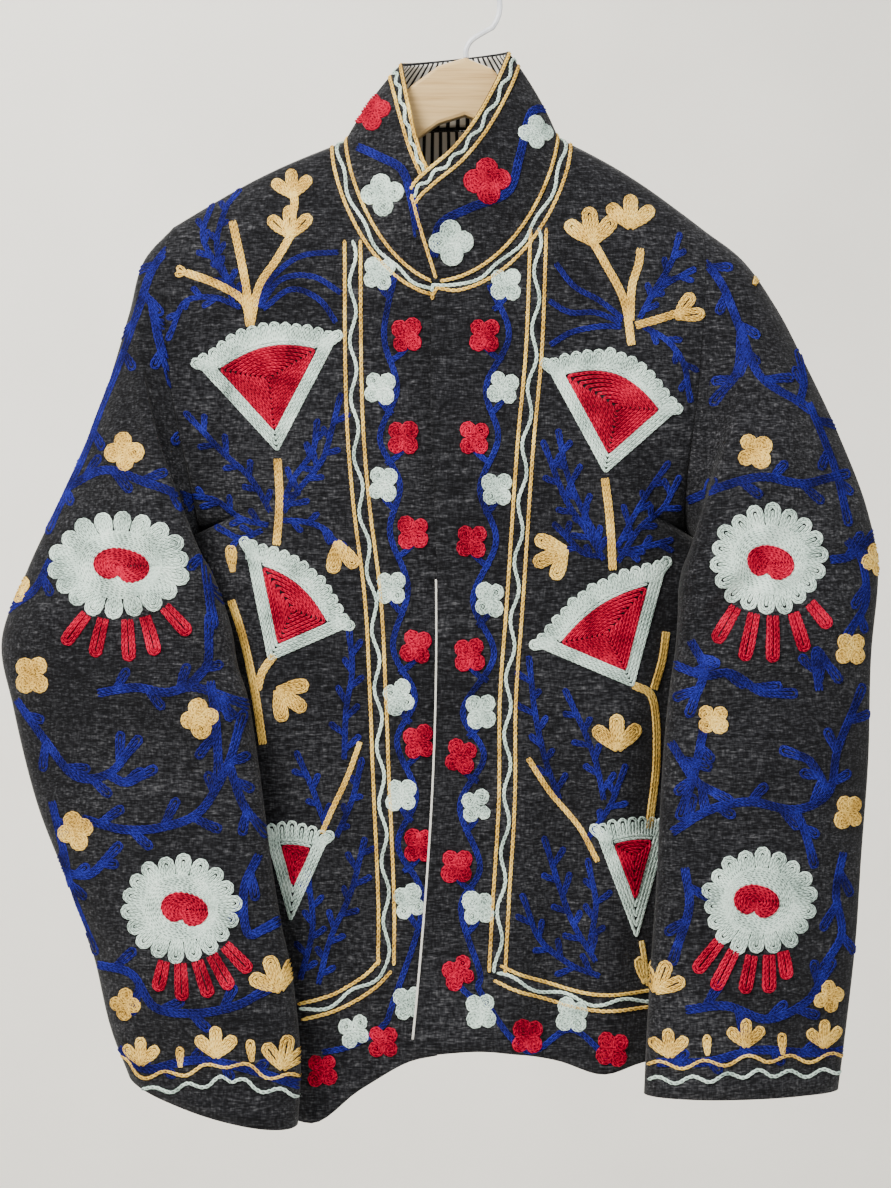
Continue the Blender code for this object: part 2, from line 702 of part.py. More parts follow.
def build_sleeve(side, name, look):
    v = np.linspace(0, 1, SLEEVE_RINGS + 1) ** 1.15
    around = 2 * ARMHOLE_ROWS
    turn = np.arange(around) / around
    v, turn = np.meshgrid(v, turn, indexing="ij")
    surface = sleeve_surface(side)
    outer = surface(v, turn)
    into = inward(surface, v, turn, sleeve_middle(side), wrap=True)
    front = armhole_inward(side, np.linspace(0, 1, ARMHOLE_ROWS + 1), False)
    back = armhole_inward(side, np.linspace(1, 0, ARMHOLE_ROWS + 1), True)
    into[0] = np.concatenate([front, back[1:-1]])
    outer[0] = outer[0] + SEAM_EASE * across_seam(outer[0], into[0], outer[1] - outer[0], True)
    return wall(name, outer, into, CLOTH, look, around=True)


def collar_grid(rows, low, high, c):
    h, c = np.meshgrid(np.linspace(low, high, rows + 1), c, indexing="ij")
    return collar_surface(h, c), inward(collar_surface, h, c, collar_middle)


def collar_stations():
    right = np.linspace(0, 1, NECK_ROWS + 1)
    back = np.linspace(1, 2, BACK_NECK_COLUMNS + 1)
    left = np.linspace(2, 3, NECK_ROWS + 1)
    return np.concatenate([right, back[1:], left[1:]])


def build_collar(look):
    c = collar_stations()
    outer, into = collar_grid(COLLAR_ROWS, 0, 1, c)
    into[0] = neck_inward(c)
    outer[0] = outer[0] + SEAM_EASE * across_seam(outer[0], into[0], outer[1] - outer[0], False)
    return wall("collar", outer, into, CLOTH, look)


def build_collar_lining(look):
    c = collar_stations()[1:-1]
    outer, into = collar_grid(COLLAR_ROWS, *LINING_SPAN, c)
    return wall("collar_lining", outer + into * (CLOTH + LINING_EASE), into, LINING, look)


def build_back_neck_lining(look):
    """The lining that shows through the open neck, inside the back panel."""
    first, last = SHOULDER_COLUMNS + 3, SHOULDER_COLUMNS + BACK_NECK_COLUMNS - 3
    u = np.arange(first, last + 1) / (2 * SHOULDER_COLUMNS + BACK_NECK_COLUMNS)
    v, u = np.meshgrid(NECK_LINING["row"] / BODY_ROWS, u, indexing="ij")
    into = inward(back_surface, v, u, body_middle)
    off = CLOTH + NECK_LINING["ease"][:, None, None]
    return wall("back_neck_lining", back_surface(v, u) + into * off, into, LINING, look)


def build_facing(look):
    surface = front_surface("right")
    rows = np.linspace(*FACING_SPAN, BODY_ROWS - 8)
    v, s = np.meshgrid(rows, np.array(FACING_COLUMNS) / FACING_PANEL, indexing="ij")
    into = inward(surface, v, np.clip(s, 0, 1), body_middle)
    return wall("front_facing", surface(v, s) + into * (CLOTH + GAP), into, FACING_THICK, look)


def board_top(x):
    """The top of the board: a table inside the collar, and the shoulder seams' own shape under the cloth."""
    inside = read(BOARD_TOP, "z", x)
    for side, beyond in (("left", x < SIDES["left"]["neck"][0]), ("right", x > SIDES["right"]["neck"][0])):
        neck, tip = SIDES[side]["neck"], SIDES[side]["tip"]
        along = (x - neck[0]) / (tip[0] - neck[0])
        seam = mix(neck[1], tip[1], along) + SHOULDER_BULGE * np.sin(np.pi * along)
        inside = np.where(beyond, seam - BOARD_CLEARANCE, inside)
    return inside


def build_board(look):
    low, high = BOARD_TIPS
    spread = np.linspace(-1, 1, BOARD_STATIONS)
    x = mix(low, high, (np.sin(spread * math.pi / 2 * 0.94) / math.sin(math.pi / 2 * 0.94) + 1) / 2)
    rings = []
    half = BOARD_THICK / 2
    for station in x:
        top = float(board_top(station))
        tall = float(read(BOARD_HEIGHT, "height", station))
        near_tip = min(station - low, high - station)
        shrink = math.sqrt(max(0.0, 1 - (1 - min(near_tip / 12.0, 1.0)) ** 2))
        middle = top - tall / 2
        reach = max(tall / 2 * (0.45 + 0.55 * shrink), BOARD_EDGE + 0.5)
        wide = half * (0.6 + 0.4 * shrink)
        edge = min(BOARD_EDGE, wide - 0.4)
        ring_points = []
        for quarter, (sy, sz) in enumerate(((1, 1), (-1, 1), (-1, -1), (1, -1))):
            for k in range(3):
                angle = math.pi / 2 * (quarter + k / 2)
                y = sy * (wide - edge) + edge * math.cos(angle)
                z = middle + sz * (reach - edge) + edge * math.sin(angle)
                ring_points.append((station, y, z))
        rings.append(np.array(ring_points))
    return loft("hanger_board", rings, look)


def build_hook(look):
    stem = [(read(HOOK_STEM, "x", t), read(HOOK_STEM, "z", t)) for t in np.linspace(0, 1, 11)]
    centre = -(HOOK_RADIUS - WIRE)
    arc = []
    for angle in np.radians(np.linspace(*HOOK_TURN, 18)):
        arc.append((HOOK_RADIUS * math.cos(angle), centre + HOOK_RADIUS * math.sin(angle)))
    path = np.array([(x, 0.0, z) for x, z in stem[:-1] + arc])
    ways = unit(np.gradient(path, axis=0))
    rings = []
    for place, way in zip(path, ways):
        side = np.array([way[2], 0.0, -way[0]])
        angles = np.arange(8) * math.pi / 4
        deep = np.array([0.0, 1.0, 0.0])
        rings.append(place + WIRE * (np.cos(angles)[:, None] * side + np.sin(angles)[:, None] * deep))
    return loft("hanger_hook", rings, look)


def build():
    for old in list(bpy.data.objects):
        bpy.data.objects.remove(old, do_unlink=True)
    cloth = material("charcoal_cloth", (0.022, 0.023, 0.028), 0.85)
    stripes = material("striped_lining", (0.45, 0.45, 0.43), 0.8)
    facing = material("pale_facing", (0.75, 0.74, 0.68), 0.8)
    wood = material("pale_wood", (0.56, 0.38, 0.2), 0.5)
    wire = material("white_wire", (0.72, 0.75, 0.8), 0.35)
    build_back(cloth)
    build_front("left", "front_panel_left", cloth)
    build_front("right", "front_panel_right", cloth)
    build_sleeve("left", "sleeve_left", cloth)
    build_sleeve("right", "sleeve_right", cloth)
    build_collar(cloth)
    build_collar_lining(stripes)
    build_back_neck_lining(stripes)
    build_facing(facing)
    build_board(wood)
    build_hook(wire)


build()
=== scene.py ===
"""Looks of the embroidered jacket: slub cloth, chain-stitch embroidery, striped lining, wood and wire.

Sizes are in millimetres in the same frame as the part's source, and meshes are made in metres.
"""

import json
import math

import bpy
import numpy as np
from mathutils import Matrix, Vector
from mathutils.bvhtree import BVHTree

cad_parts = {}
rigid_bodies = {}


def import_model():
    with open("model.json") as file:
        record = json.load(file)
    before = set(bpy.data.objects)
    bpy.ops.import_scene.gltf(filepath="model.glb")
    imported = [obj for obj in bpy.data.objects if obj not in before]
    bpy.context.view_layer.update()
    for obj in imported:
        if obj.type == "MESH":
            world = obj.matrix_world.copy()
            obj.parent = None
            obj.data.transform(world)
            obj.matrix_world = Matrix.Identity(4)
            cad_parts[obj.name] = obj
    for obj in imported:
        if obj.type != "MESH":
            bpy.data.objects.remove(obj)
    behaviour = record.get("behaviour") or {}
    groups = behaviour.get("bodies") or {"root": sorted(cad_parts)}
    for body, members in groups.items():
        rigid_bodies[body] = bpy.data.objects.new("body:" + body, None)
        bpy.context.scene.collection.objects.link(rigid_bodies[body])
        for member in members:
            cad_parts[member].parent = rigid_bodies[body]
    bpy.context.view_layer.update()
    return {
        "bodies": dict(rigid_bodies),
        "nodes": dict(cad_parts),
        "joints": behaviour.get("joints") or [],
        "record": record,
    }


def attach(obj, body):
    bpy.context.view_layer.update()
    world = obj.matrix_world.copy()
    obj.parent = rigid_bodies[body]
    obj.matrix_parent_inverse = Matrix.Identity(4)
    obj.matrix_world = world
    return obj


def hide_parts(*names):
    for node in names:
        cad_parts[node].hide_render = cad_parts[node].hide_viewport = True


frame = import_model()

MM = 0.001
CLOTH = 1.6
LINING = 0.8
GAP = 0.3
LAP_STEP = 5.5  # how far the lower front lies behind the one that laps over it
LAP_WIDTH = 18.0

# Grid lines. Armhole rows are shared by a panel and its sleeve, neck rows by a panel and the collar.
NECK_ROWS = 8
ARMHOLE_ROWS = 12
BODY_ROWS = 28
FRONT_COLUMNS = 11
SHOULDER_COLUMNS = 7
BACK_NECK_COLUMNS = 10

V_NECK = NECK_ROWS / BODY_ROWS
V_ARM = ARMHOLE_ROWS / BODY_ROWS

BACK_DEPTH = 40.0  # neck seam at the middle of the back, behind the shoulder seams
SHOULDER_BULGE = 5.0
NECK_FORWARD = 0.78  # below 1, the neck seam runs forward over the board before it falls
NECK_FALL = 1.3
BACK_NECK_RISE = 12.0
SIDE_ROUNDNESS = 2.2
ARMHOLE_FULLNESS = 0.9
ARMHOLE_FRONT = 41.0
ARMHOLE_BACK = 35.0
ARMHOLE_BLEND = 0.5  # part of the sleeve over which the armhole's shape dies away


def table(columns, rows):
    """A table with named columns, read along its first column."""
    return dict(zip(columns.split(), np.array(rows, float).T))


SIDES = {
    "left": {"out": -1, "neck": (-88.0, -124.0), "tip": (-213.0, -187.0), "underarm": (-192.0, -410.6)},
    "right": {"out": 1, "neck": (69.0, -121.5), "tip": (174.0, -188.0), "underarm": (162.0, -410.6)},
}

# Seen from the front, how far out the armhole seam stands on the front and on the back.
ARMHOLE = {
    "left": table(
        "turn front_x back_x",
        [
            (0.0, -213, -213), (0.25, -217.5, -220), (0.5, -213.5, -220), (0.75, -199, -208),
            (1.0, -192, -192),
        ],
    ),
    "right": table(
        "turn front_x back_x",
        [(0.0, 174, 174), (0.25, 175, 181), (0.5, 169.5, 179), (0.75, 160.5, 172), (1.0, 162, 162)],
    ),
}

# Side seams from the underarm to the hem, and the depth of the cloth at the middle there.
SIDE_SEAM = {
    "left": table(
        "down x z",
        [
            (0.0, -192, -410.6), (0.03, -199, -423), (0.07, -204, -440), (0.12, -206, -460),
            (0.25, -199, -512), (0.5, -199, -615), (0.75, -206, -717), (1.0, -214, -817),
        ],
    ),
    "right": table(
        "down x z",
        [
            (0.0, 162, -410.6), (0.03, 169, -422), (0.07, 177, -438), (0.12, 178, -458), (0.25, 172, -506),
            (0.5, 178, -601), (0.75, 186, -696), (1.0, 194, -790.7),
        ],
    ),
}

# The lapping front edge from the neck seam to the hem.
CENTRE_FRONT = table(
    "down x z depth",
    [
        (0.0, -23.8, -233.5, 52), (0.2, -24.6, -330, 57), (0.42, -20.2, -447, 56), (0.63, -21.5, -567, 52),
        (0.8, -27.0, -665, 53), (0.93, -34.0, -748, 57), (1.0, -38.0, -788.6, 60),
    ],
)
CENTRE_BACK_DEPTH = table("down depth", [(0.0, 40), (0.25, 44), (0.5, 42), (0.75, 41), (1.0, 45)])

# How far the hem hangs below a straight line from its front edge to its side seam, by place along it.
HEM_DROP = {
    "left": table(
        "along drop",
        [(0.0, 0), (0.09, 1), (0.3, 19), (0.46, 35), (0.52, 32), (0.73, 12), (1.0, 0)],
    ),
    "right": table(
        "along drop",
        [(0.0, 0), (0.28, -3.5), (0.46, 4), (0.59, 12), (0.71, 5), (0.85, 1), (1.0, 0)],
    ),
    "back": table("along drop", [(0.0, 0), (0.25, 2), (0.45, -16), (0.6, -16), (0.75, -4), (1.0, 0)]),
}
HEM_REACH = 6.0  # the higher, the closer to the hem its waves stay

# Soft folds: where each starts and ends across and down, how far it stands out and how wide it is.
FRONT_FOLDS = table(
    "top_x bottom_x top_z bottom_z height width",
    [
        (-150, -112, -360, -840, 9, 20), (-120, -70, -560, -840, -7, 17), (-160, -135, -250, -420, -5, 16),
        (-182, -160, -500, -840, -6, 18), (118, 104, -420, -830, 8, 18), (70, 62, -560, -830, -6, 19),
        (40, 24, -640, -830, 5, 16), (140, 150, -300, -520, -5, 16),
    ],
)
BACK_FOLDS = table(
    "top_x bottom_x top_z bottom_z height width",
    [
        (-150, -140, -300, -840, 8, 22), (-95, -88, -420, -840, -7, 20), (-30, -42, -520, -840, 8, 24),
        (30, 26, -420, -840, -6, 20), (85, 92, -300, -840, 8, 22), (130, 148, -460, -840, -5, 18),
    ],
)

# Sleeves: the outer and inner edge of each ring as seen from the front, and how thick it stands there.
SLEEVE_COLUMNS = "down outer_x outer_y outer_z inner_x inner_y inner_z front back drop"
SLEEVES = {
    "left": table(
        SLEEVE_COLUMNS,
        [
            (0.00, -213, 0, -187, -192, 0, -410.6, 41, 35, 0),
            (0.08, -234, -1, -212, -201, -19, -421, 42, 36, 0),
            (0.16, -244, -3, -250, -188, -40, -432, 42, 36, 0),
            (0.26, -264, -6, -318, -177, -55, -453, 40, 33, 0),
            (0.36, -291, -10, -382, -168, -63, -480, 37, 30, 0),
            (0.46, -318, -17, -440, -163, -66, -508, 36, 28, 0),
            (0.54, -336, -24, -490, -155, -70, -533, 34, 26, 0),
            (0.62, -327, -31, -538, -148, -75, -575, 32, 25, 0),
            (0.72, -309, -40, -606, -139, -82, -641, 30, 24, 2),
            (0.82, -286, -47, -663, -131, -88, -690, 29, 24, 4),
            (0.90, -266, -51, -716, -122, -92, -735, 29, 24, 7),
            (0.96, -253, -54, -768, -117, -94, -792, 29, 25, 9),
            (1.00, -240, -56, -799, -119, -96, -832, 30, 26, 10),
        ],
    ),
    "right": table(
        SLEEVE_COLUMNS,
        [
            (0.00, 174, 0, -188, 162, 0, -410.6, 41, 35, 0),
            (0.08, 204, -1, -212, 170, -17, -420, 42, 36, 0),
            (0.16, 227, -3, -246, 160, -40, -431, 42, 36, 0),
            (0.26, 250, -6, -292, 154, -55, -449, 40, 33, 0),
            (0.36, 273, -10, -342, 153, -61, -472, 37, 31, 0),
            (0.46, 293, -16, -397, 151, -66, -496, 36, 28, 0),
            (0.54, 300, -22, -440, 147, -70, -522, 34, 26, 0),
            (0.62, 294, -30, -500, 143, -75, -556, 32, 25, 0),
            (0.72, 291, -38, -575, 139, -82, -610, 30, 24, 0),
            (0.82, 285, -45, -645, 136, -88, -665, 29, 24, 0),
            (0.90, 280, -49, -710, 132, -92, -718, 29, 24, 0),
            (0.96, 273, -52, -768, 129, -94, -768, 29, 25, 1),
            (1.00, 267, -54, -811, 127, -96, -810, 30, 26, 2),
        ],
    ),
}
# Creases across a sleeve: place along and around it, lean, height, length and width.
SLEEVE_FOLDS = {
    "left": table(
        "down turn lean height along around",
        [
            (0.47, 0.34, 0.10, -8, 0.035, 0.11), (0.56, 0.36, 0.12, 6, 0.035, 0.12),
            (0.66, 0.30, -0.10, -5, 0.040, 0.12), (0.50, 0.14, -0.12, 5, 0.040, 0.09),
            (0.30, 0.30, 0.10, 5, 0.045, 0.10), (0.53, 0.70, 0.10, -6, 0.040, 0.12),
            (0.78, 0.70, -0.08, 5, 0.050, 0.12), (0.93, 0.32, 0.02, 4, 0.060, 0.07),
        ],
    ),
    "right": table(
        "down turn lean height along around",
        [
            (0.44, 0.34, 0.10, -7, 0.035, 0.11), (0.54, 0.36, 0.12, 6, 0.035, 0.12),
            (0.62, 0.30, -0.10, -5, 0.040, 0.12), (0.30, 0.22, 0.10, 5, 0.045, 0.09),
            (0.74, 0.20, 0.06, 4, 0.060, 0.08), (0.50, 0.70, 0.10, -6, 0.040, 0.12),
            (0.80, 0.70, -0.08, 5, 0.050, 0.12), (0.93, 0.28, 0.02, 4, 0.060, 0.07),
        ],
    ),
}

# Top edge of the collar, from its front end to the shoulder, over the back, and down the other side.
COLLAR_TOP = {
    "right": table(
        "up x y z",
        [
            (0.0, -40.2, -60, -167.7), (0.12, -37.0, -59.5, -160.2), (0.25, -27.4, -57.5, -150.5),
            (0.45, -9.4, -50, -134), (0.65, 7.3, -37, -110.6), (0.85, 23.5, -18, -79),
            (1.0, 32.0, 0, -57.5),
        ],
    ),
    "left": table(
        "up x y z",
        [
            (0.0, -18.0, -44.5, -159.3), (0.2, -29.0, -43.5, -144.2), (0.4, -35.2, -38, -125.4),
            (0.65, -40.8, -26, -97.4), (0.85, -44.5, -12, -76), (1.0, -46.0, 0, -66),
        ],
    ),
}
COLLAR_BACK_TOP = (30.0, -58.5)  # y and z at the middle of the back
COLLAR_SWELL = 3.0
LINING_SPAN = (0.05, 0.985)  # of the height of the collar

# The lining inside the back's neck: the rows of the panel that it lies along, and how far it stands off each.
NECK_LINING = table("row ease", [(0.3, 2.2), (1, 1.6), (2, 0.7), (3, 0.7)])

FACING_COLUMNS = (-1.4, 6.0, 22.0)  # from the front edge, on a panel FACING_PANEL wide
FACING_PANEL = 200.0
FACING_SPAN = (0.585, 0.985)
FACING_THICK = 0.6


def read(rows, column, at):
    """The smooth value of one column, at places along the table's first column."""
    knots = next(iter(rows.values()))
    values = rows[column]
    slopes = np.gradient(values, knots)
    at = np.clip(at, knots[0], knots[-1])
    k = np.clip(np.searchsorted(knots, at, side="right") - 1, 0, len(knots) - 2)
    width = knots[k + 1] - knots[k]
    t = (at - knots[k]) / width
    start = (1 + 2 * t) * (1 - t) ** 2 * values[k] + t * (1 - t) ** 2 * width * slopes[k]
    end = t * t * (3 - 2 * t) * values[k + 1] - t * t * (1 - t) * width * slopes[k + 1]
    return start + end


def points(x, y, z):
    return np.stack(np.broadcast_arrays(x, y, z), -1).astype(float)


def unit(vectors):
    return vectors / np.linalg.norm(vectors, axis=-1, keepdims=True)


def mix(a, b, t):
    return a + (b - a) * t


def smooth(low, high, value):
    t = np.clip((value - low) / (high - low), 0, 1)
    return t * t * (3 - 2 * t)


def armhole(side, turn, back):
    """The armhole seam from the shoulder tip (turn 0) down to the underarm (turn 1)."""
    ends = SIDES[side]
    x = read(ARMHOLE[side], "back_x" if back else "front_x", turn)
    sweep = np.sin(np.pi * np.clip(turn, 0, 1)) ** ARMHOLE_FULLNESS
    y = ARMHOLE_BACK * sweep if back else -ARMHOLE_FRONT * sweep
    z = mix(ends["tip"][1], ends["underarm"][1], (1 - np.cos(np.pi * turn)) / 2)
    return points(x, y, z)


def outer_edge(side, v, back):
    """The armhole and below it the side seam."""
    seam = SIDE_SEAM[side]
    turn = np.clip(v / V_ARM, 0, 1)
    down = np.clip((v - V_ARM) / (1 - V_ARM), 0, 1)
    seam_y = (GAP / 2) * (1 if back else -1)
    below = points(read(seam, "x", down), seam_y, read(seam, "z", down))
    above = armhole(side, turn, back)
    above[..., 1] += seam_y
    return np.where((v < V_ARM)[..., None], above, below)


def inner_edge(side, v):
    """The neck seam and below it the front edge."""
    lap = 0.0 if side == "right" else LAP_STEP
    over = 0.0 if side == "right" else LAP_WIDTH
    down = np.clip((v - V_NECK) / (1 - V_NECK), 0, 1)
    x = read(CENTRE_FRONT, "x", down) + over
    z = read(CENTRE_FRONT, "z", down) - over * 0.15 * (1 - down)
    below = points(x, lap - read(CENTRE_FRONT, "depth", down), z)
    neck_x, neck_z = SIDES[side]["neck"]
    psi = np.pi / 2 * np.clip(v / V_NECK, 0, 1)
    front = below_start(side)
    above = points(
        mix(front[0], neck_x, np.cos(psi)),
        -GAP / 2 + (front[1] + GAP / 2) * np.sin(psi) ** NECK_FORWARD,
        mix(neck_z, front[2], np.sin(psi) ** NECK_FALL),
    )
    return np.where((v < V_NECK)[..., None], above, below)


def below_start(side):
    """Where the neck seam meets the front edge."""
    lap = 0.0 if side == "right" else LAP_STEP
    over = 0.0 if side == "right" else LAP_WIDTH
    x, z, depth = (read(CENTRE_FRONT, name, np.array(0.0)) for name in ("x", "z", "depth"))
    return float(x + over), float(lap - depth), float(z - over * 0.15)


def edge_depth(exact, v, s, full):
    """Depth taken from the outer edge: the armhole's own at the seam, and a slower change inside it."""
    slow = full * (1 - smooth(0.5 * V_ARM, 1.7 * V_ARM, v))
    slow = np.where(v < 0.5 * V_ARM, exact, slow)
    return mix(exact, slow, smooth(0, 0.3, 1 - s))


def fold_height(folds, x, z):
    height = np.zeros(np.broadcast(x, z).shape)
    for top_x, bottom_x, top_z, bottom_z, rise, width in zip(*folds.values()):
        t = np.clip((top_z - z) / (top_z - bottom_z), 0, 1)
        middle = mix(top_x, bottom_x, t)
        height = height + rise * smooth(0, 0.35, t) * np.exp(-(((x - middle) / width) ** 2))
    return height


def front_surface(side):
    def surface(v, s):
        inner, outer = inner_edge(side, v), outer_edge(side, v, False)
        place = mix(inner, outer, s[..., None])
        across = np.clip(s, 0, 1)
        bulge = (1 - across**SIDE_ROUNDNESS) ** (1 / SIDE_ROUNDNESS)
        y = mix(edge_depth(outer[..., 1], v, across, -ARMHOLE_FRONT), inner[..., 1], bulge)
        z = place[..., 2] - read(HEM_DROP[side], "drop", across) * v**HEM_REACH
        z = z + SHOULDER_BULGE * np.sin(np.pi * across) * (1 - v) ** 4
        still = smooth(0.02, 0.22, s) * smooth(0.0, 0.16, 1 - s) * smooth(0.05, 0.3, v)
        y = y - fold_height(FRONT_FOLDS, place[..., 0], z) * still
        return points(place[..., 0], y, z)

    return surface


SHOULDER_PART = SHOULDER_COLUMNS / (2 * SHOULDER_COLUMNS + BACK_NECK_COLUMNS)


def back_top(u):
    """The top of the back from the left shoulder tip along the neck to the right one."""
    left, right = SIDES["left"], SIDES["right"]
    a = np.clip(u / SHOULDER_PART, 0, 1)
    b = np.clip((1 - u) / SHOULDER_PART, 0, 1)
    psi = np.pi * np.clip((u - SHOULDER_PART) / (1 - 2 * SHOULDER_PART), 0, 1)
    half = GAP / 2
    shoulder_left, shoulder_right = (
        points(
            mix(end["tip"][0], end["neck"][0], along),
            half,
            mix(end["tip"][1], end["neck"][1], along) + SHOULDER_BULGE * np.sin(np.pi * along),
        )
        for end, along in ((left, a), (right, b))
    )
    neck = points(
        mix(left["neck"][0], right["neck"][0], (1 - np.cos(psi)) / 2),
        half + BACK_DEPTH * np.sin(psi),
        mix(left["neck"][1], right["neck"][1], (1 - np.cos(psi)) / 2) + BACK_NECK_RISE * np.sin(psi),
    )
    inside = (u > SHOULDER_PART) & (u < 1 - SHOULDER_PART)
    return np.where(inside[..., None], neck, np.where((u < 0.5)[..., None], shoulder_left, shoulder_right))


def back_surface(v, u):
    v, u = np.broadcast_arrays(v, u)
    zero, one = np.zeros_like(v), np.ones_like(v)
    left, right = outer_edge("left", v, True), outer_edge("right", v, True)
    top = back_top(u)
    hem_left, hem_right = outer_edge("left", one, True), outer_edge("right", one, True)
    tip_left, tip_right = outer_edge("left", zero, True), outer_edge("right", zero, True)
    ends_x = tip_right[..., 0] - tip_left[..., 0]
    share = (top[..., 0] - tip_left[..., 0]) / ends_x
    hem = mix(hem_left, hem_right, share[..., None])
    patch = (
        mix(top, hem, v[..., None])
        + (1 - share[..., None]) * (left - mix(tip_left, hem_left, v[..., None]))
        + share[..., None] * (right - mix(tip_right, hem_right, v[..., None]))
    )
    turn = np.clip(v / V_ARM, 0, 1)
    settled = np.sin(np.pi * np.minimum(turn, 0.5))
    middle = read(CENTRE_BACK_DEPTH, "depth", v) * settled
    offset = np.clip(np.abs(2 * share - 1), 0, 1)
    edge = edge_depth(mix(left[..., 1], right[..., 1], share), v, offset, ARMHOLE_BACK)
    bulge = (1 - offset**SIDE_ROUNDNESS) ** (1 / SIDE_ROUNDNESS)
    y = mix(edge, middle, bulge) + (top[..., 1] - GAP / 2) * (1 - settled)
    z = patch[..., 2] - read(HEM_DROP["back"], "drop", share) * v**HEM_REACH
    still = smooth(0.0, 0.1, share) * smooth(0.0, 0.1, 1 - share) * smooth(0.1, 0.35, v)
    y = y + fold_height(BACK_FOLDS, patch[..., 0], z) * still
    return points(patch[..., 0], y, z)


def ring(side, v, turn):
    """A sleeve ring before the armhole shapes it: turn 0 at its outer edge, a half at its inner one."""
    rows = SLEEVES[side]
    outer = points(*(read(rows, "outer_" + axis, v) for axis in "xyz"))
    inner = points(*(read(rows, "inner_" + axis, v) for axis in "xyz"))
    angle = 2 * np.pi * turn
    ahead = np.zeros_like(outer)
    ahead[..., 1] = -1.0
    along = unit(outer - inner)
    ahead = unit(ahead - (ahead * along).sum(-1, keepdims=True) * along)
    swing = np.sin(angle)
    full = np.sign(swing) * np.abs(swing) ** ARMHOLE_FULLNESS
    depth = np.where(swing > 0, read(rows, "front", v), read(rows, "back", v))
    place = mix(outer, inner, ((1 - np.cos(angle)) / 2)[..., None]) + ahead * (depth * full)[..., None]
    place[..., 2] -= read(rows, "drop", v) * swing
    return place, ahead * np.sign(full)[..., None]


def sleeve_surface(side):
    folds = SLEEVE_FOLDS[side]

    def surface(v, turn):
        turn = turn % 1.0
        place, ahead = ring(side, v, turn)
        half = np.where(turn <= 0.5, 2 * turn, 2 * (1 - turn))
        seam = np.where((turn <= 0.5)[..., None], armhole(side, half, False), armhole(side, half, True))
        start, _ = ring(side, np.zeros_like(v), turn)
        fade = np.clip(1 - v / ARMHOLE_BLEND, 0, 1)[..., None] ** 1.5
        place = place + (seam - start) * fade
        height = np.zeros_like(v)
        for down, around, lean, rise, length, width in zip(*folds.values()):
            off = turn - around
            height = height + rise * np.exp(-(((v - down - lean * off) / length) ** 2) - (off / width) ** 2)
        edge = np.abs(np.sin(2 * np.pi * turn))
        return place + ahead * (height * smooth(0.05, 0.2, v) * smooth(0.0, 0.5, edge))[..., None]

    return surface


def collar_edges(c):
    """Seam and top edge of the collar.

    c is 0 at the lapping end, 1 and 2 at the shoulders, and 3 at the other end.
    """
    c = np.asarray(c, float)
    right = inner_edge("right", V_NECK * np.clip(1 - c, 0, 1))
    left = inner_edge("left", V_NECK * np.clip(c - 2, 0, 1))
    back = back_top(mix(1 - SHOULDER_PART, SHOULDER_PART, np.clip(c - 1, 0, 1)))
    base = np.where((c < 1)[..., None], right, np.where((c > 2)[..., None], left, back))
    flat = (np.abs(c - 1) < 1e-9) | (np.abs(c - 2) < 1e-9)
    base[..., 1] = np.where(flat, 0.0, base[..., 1])
    top_right = points(*(read(COLLAR_TOP["right"], axis, np.clip(c, 0, 1)) for axis in "xyz"))
    top_left = points(*(read(COLLAR_TOP["left"], axis, np.clip(3 - c, 0, 1)) for axis in "xyz"))
    start = points(*(read(COLLAR_TOP["right"], axis, np.array(1.0)) for axis in "xyz"))
    end = points(*(read(COLLAR_TOP["left"], axis, np.array(1.0)) for axis in "xyz"))
    psi = np.pi * np.clip(c - 1, 0, 1)
    share = ((1 - np.cos(psi)) / 2)[..., None]
    top_back = mix(start, end, share)
    top_back[..., 1] += COLLAR_BACK_TOP[0] * np.sin(psi)
    top_back[..., 2] += (COLLAR_BACK_TOP[1] - (start[2] + end[2]) / 2) * np.sin(psi)
    top = np.where((c < 1)[..., None], top_right, np.where((c > 2)[..., None], top_left, top_back))
    return base, top


def collar_surface(h, c):
    h, c = np.broadcast_arrays(h, c)
    base, top = collar_edges(c)
    place = mix(base, top, h[..., None])
    centre = points(-10.0, 0.0, place[..., 2])
    away = place - centre
    away[..., 2] = 0
    return place + unit(away) * (COLLAR_SWELL * 4 * h * (1 - h))[..., None]


def inward(surface, p, q, centre, wrap=False):
    """Unit vectors square to a surface, on the side of the centre."""
    step = 1e-4
    low_q, high_q = (q - step, q + step) if wrap else (np.clip(q - step, 0, None), np.clip(q + step, None, 1))
    if q.max() > 1:
        low_q, high_q = np.clip(q - step, 0, None), np.clip(q + step, None, q.max())
    along = surface(np.clip(p + step, 0, 1), q) - surface(np.clip(p - step, 0, 1), q)
    across = surface(p, high_q) - surface(p, low_q)
    square = unit(np.cross(along, across))
    place = surface(p, q)
    return square if ((centre(place) - place) * square).sum() > 0 else -square


def body_middle(place):
    return points(-10.0, 0.0, place[..., 2] - 40)


def sleeve_middle(side):
    def middle(place):
        rows = SLEEVES[side]
        down = np.linspace(0, 1, len(place)) if place.ndim == 3 else np.array([0.0])
        axis = points(*((read(rows, "outer_" + a, down) + read(rows, "inner_" + a, down)) / 2 for a in "xyz"))
        return axis[:, None] if place.ndim == 3 else axis

    return middle


def collar_middle(place):
    return points(-8.0, 0.0, place[..., 2] - 30)


def flat_seam(vectors):
    """Directions kept in the plane of the shoulder and side seams."""
    kept = vectors.copy()
    kept[..., 1] = 0
    return unit(kept)


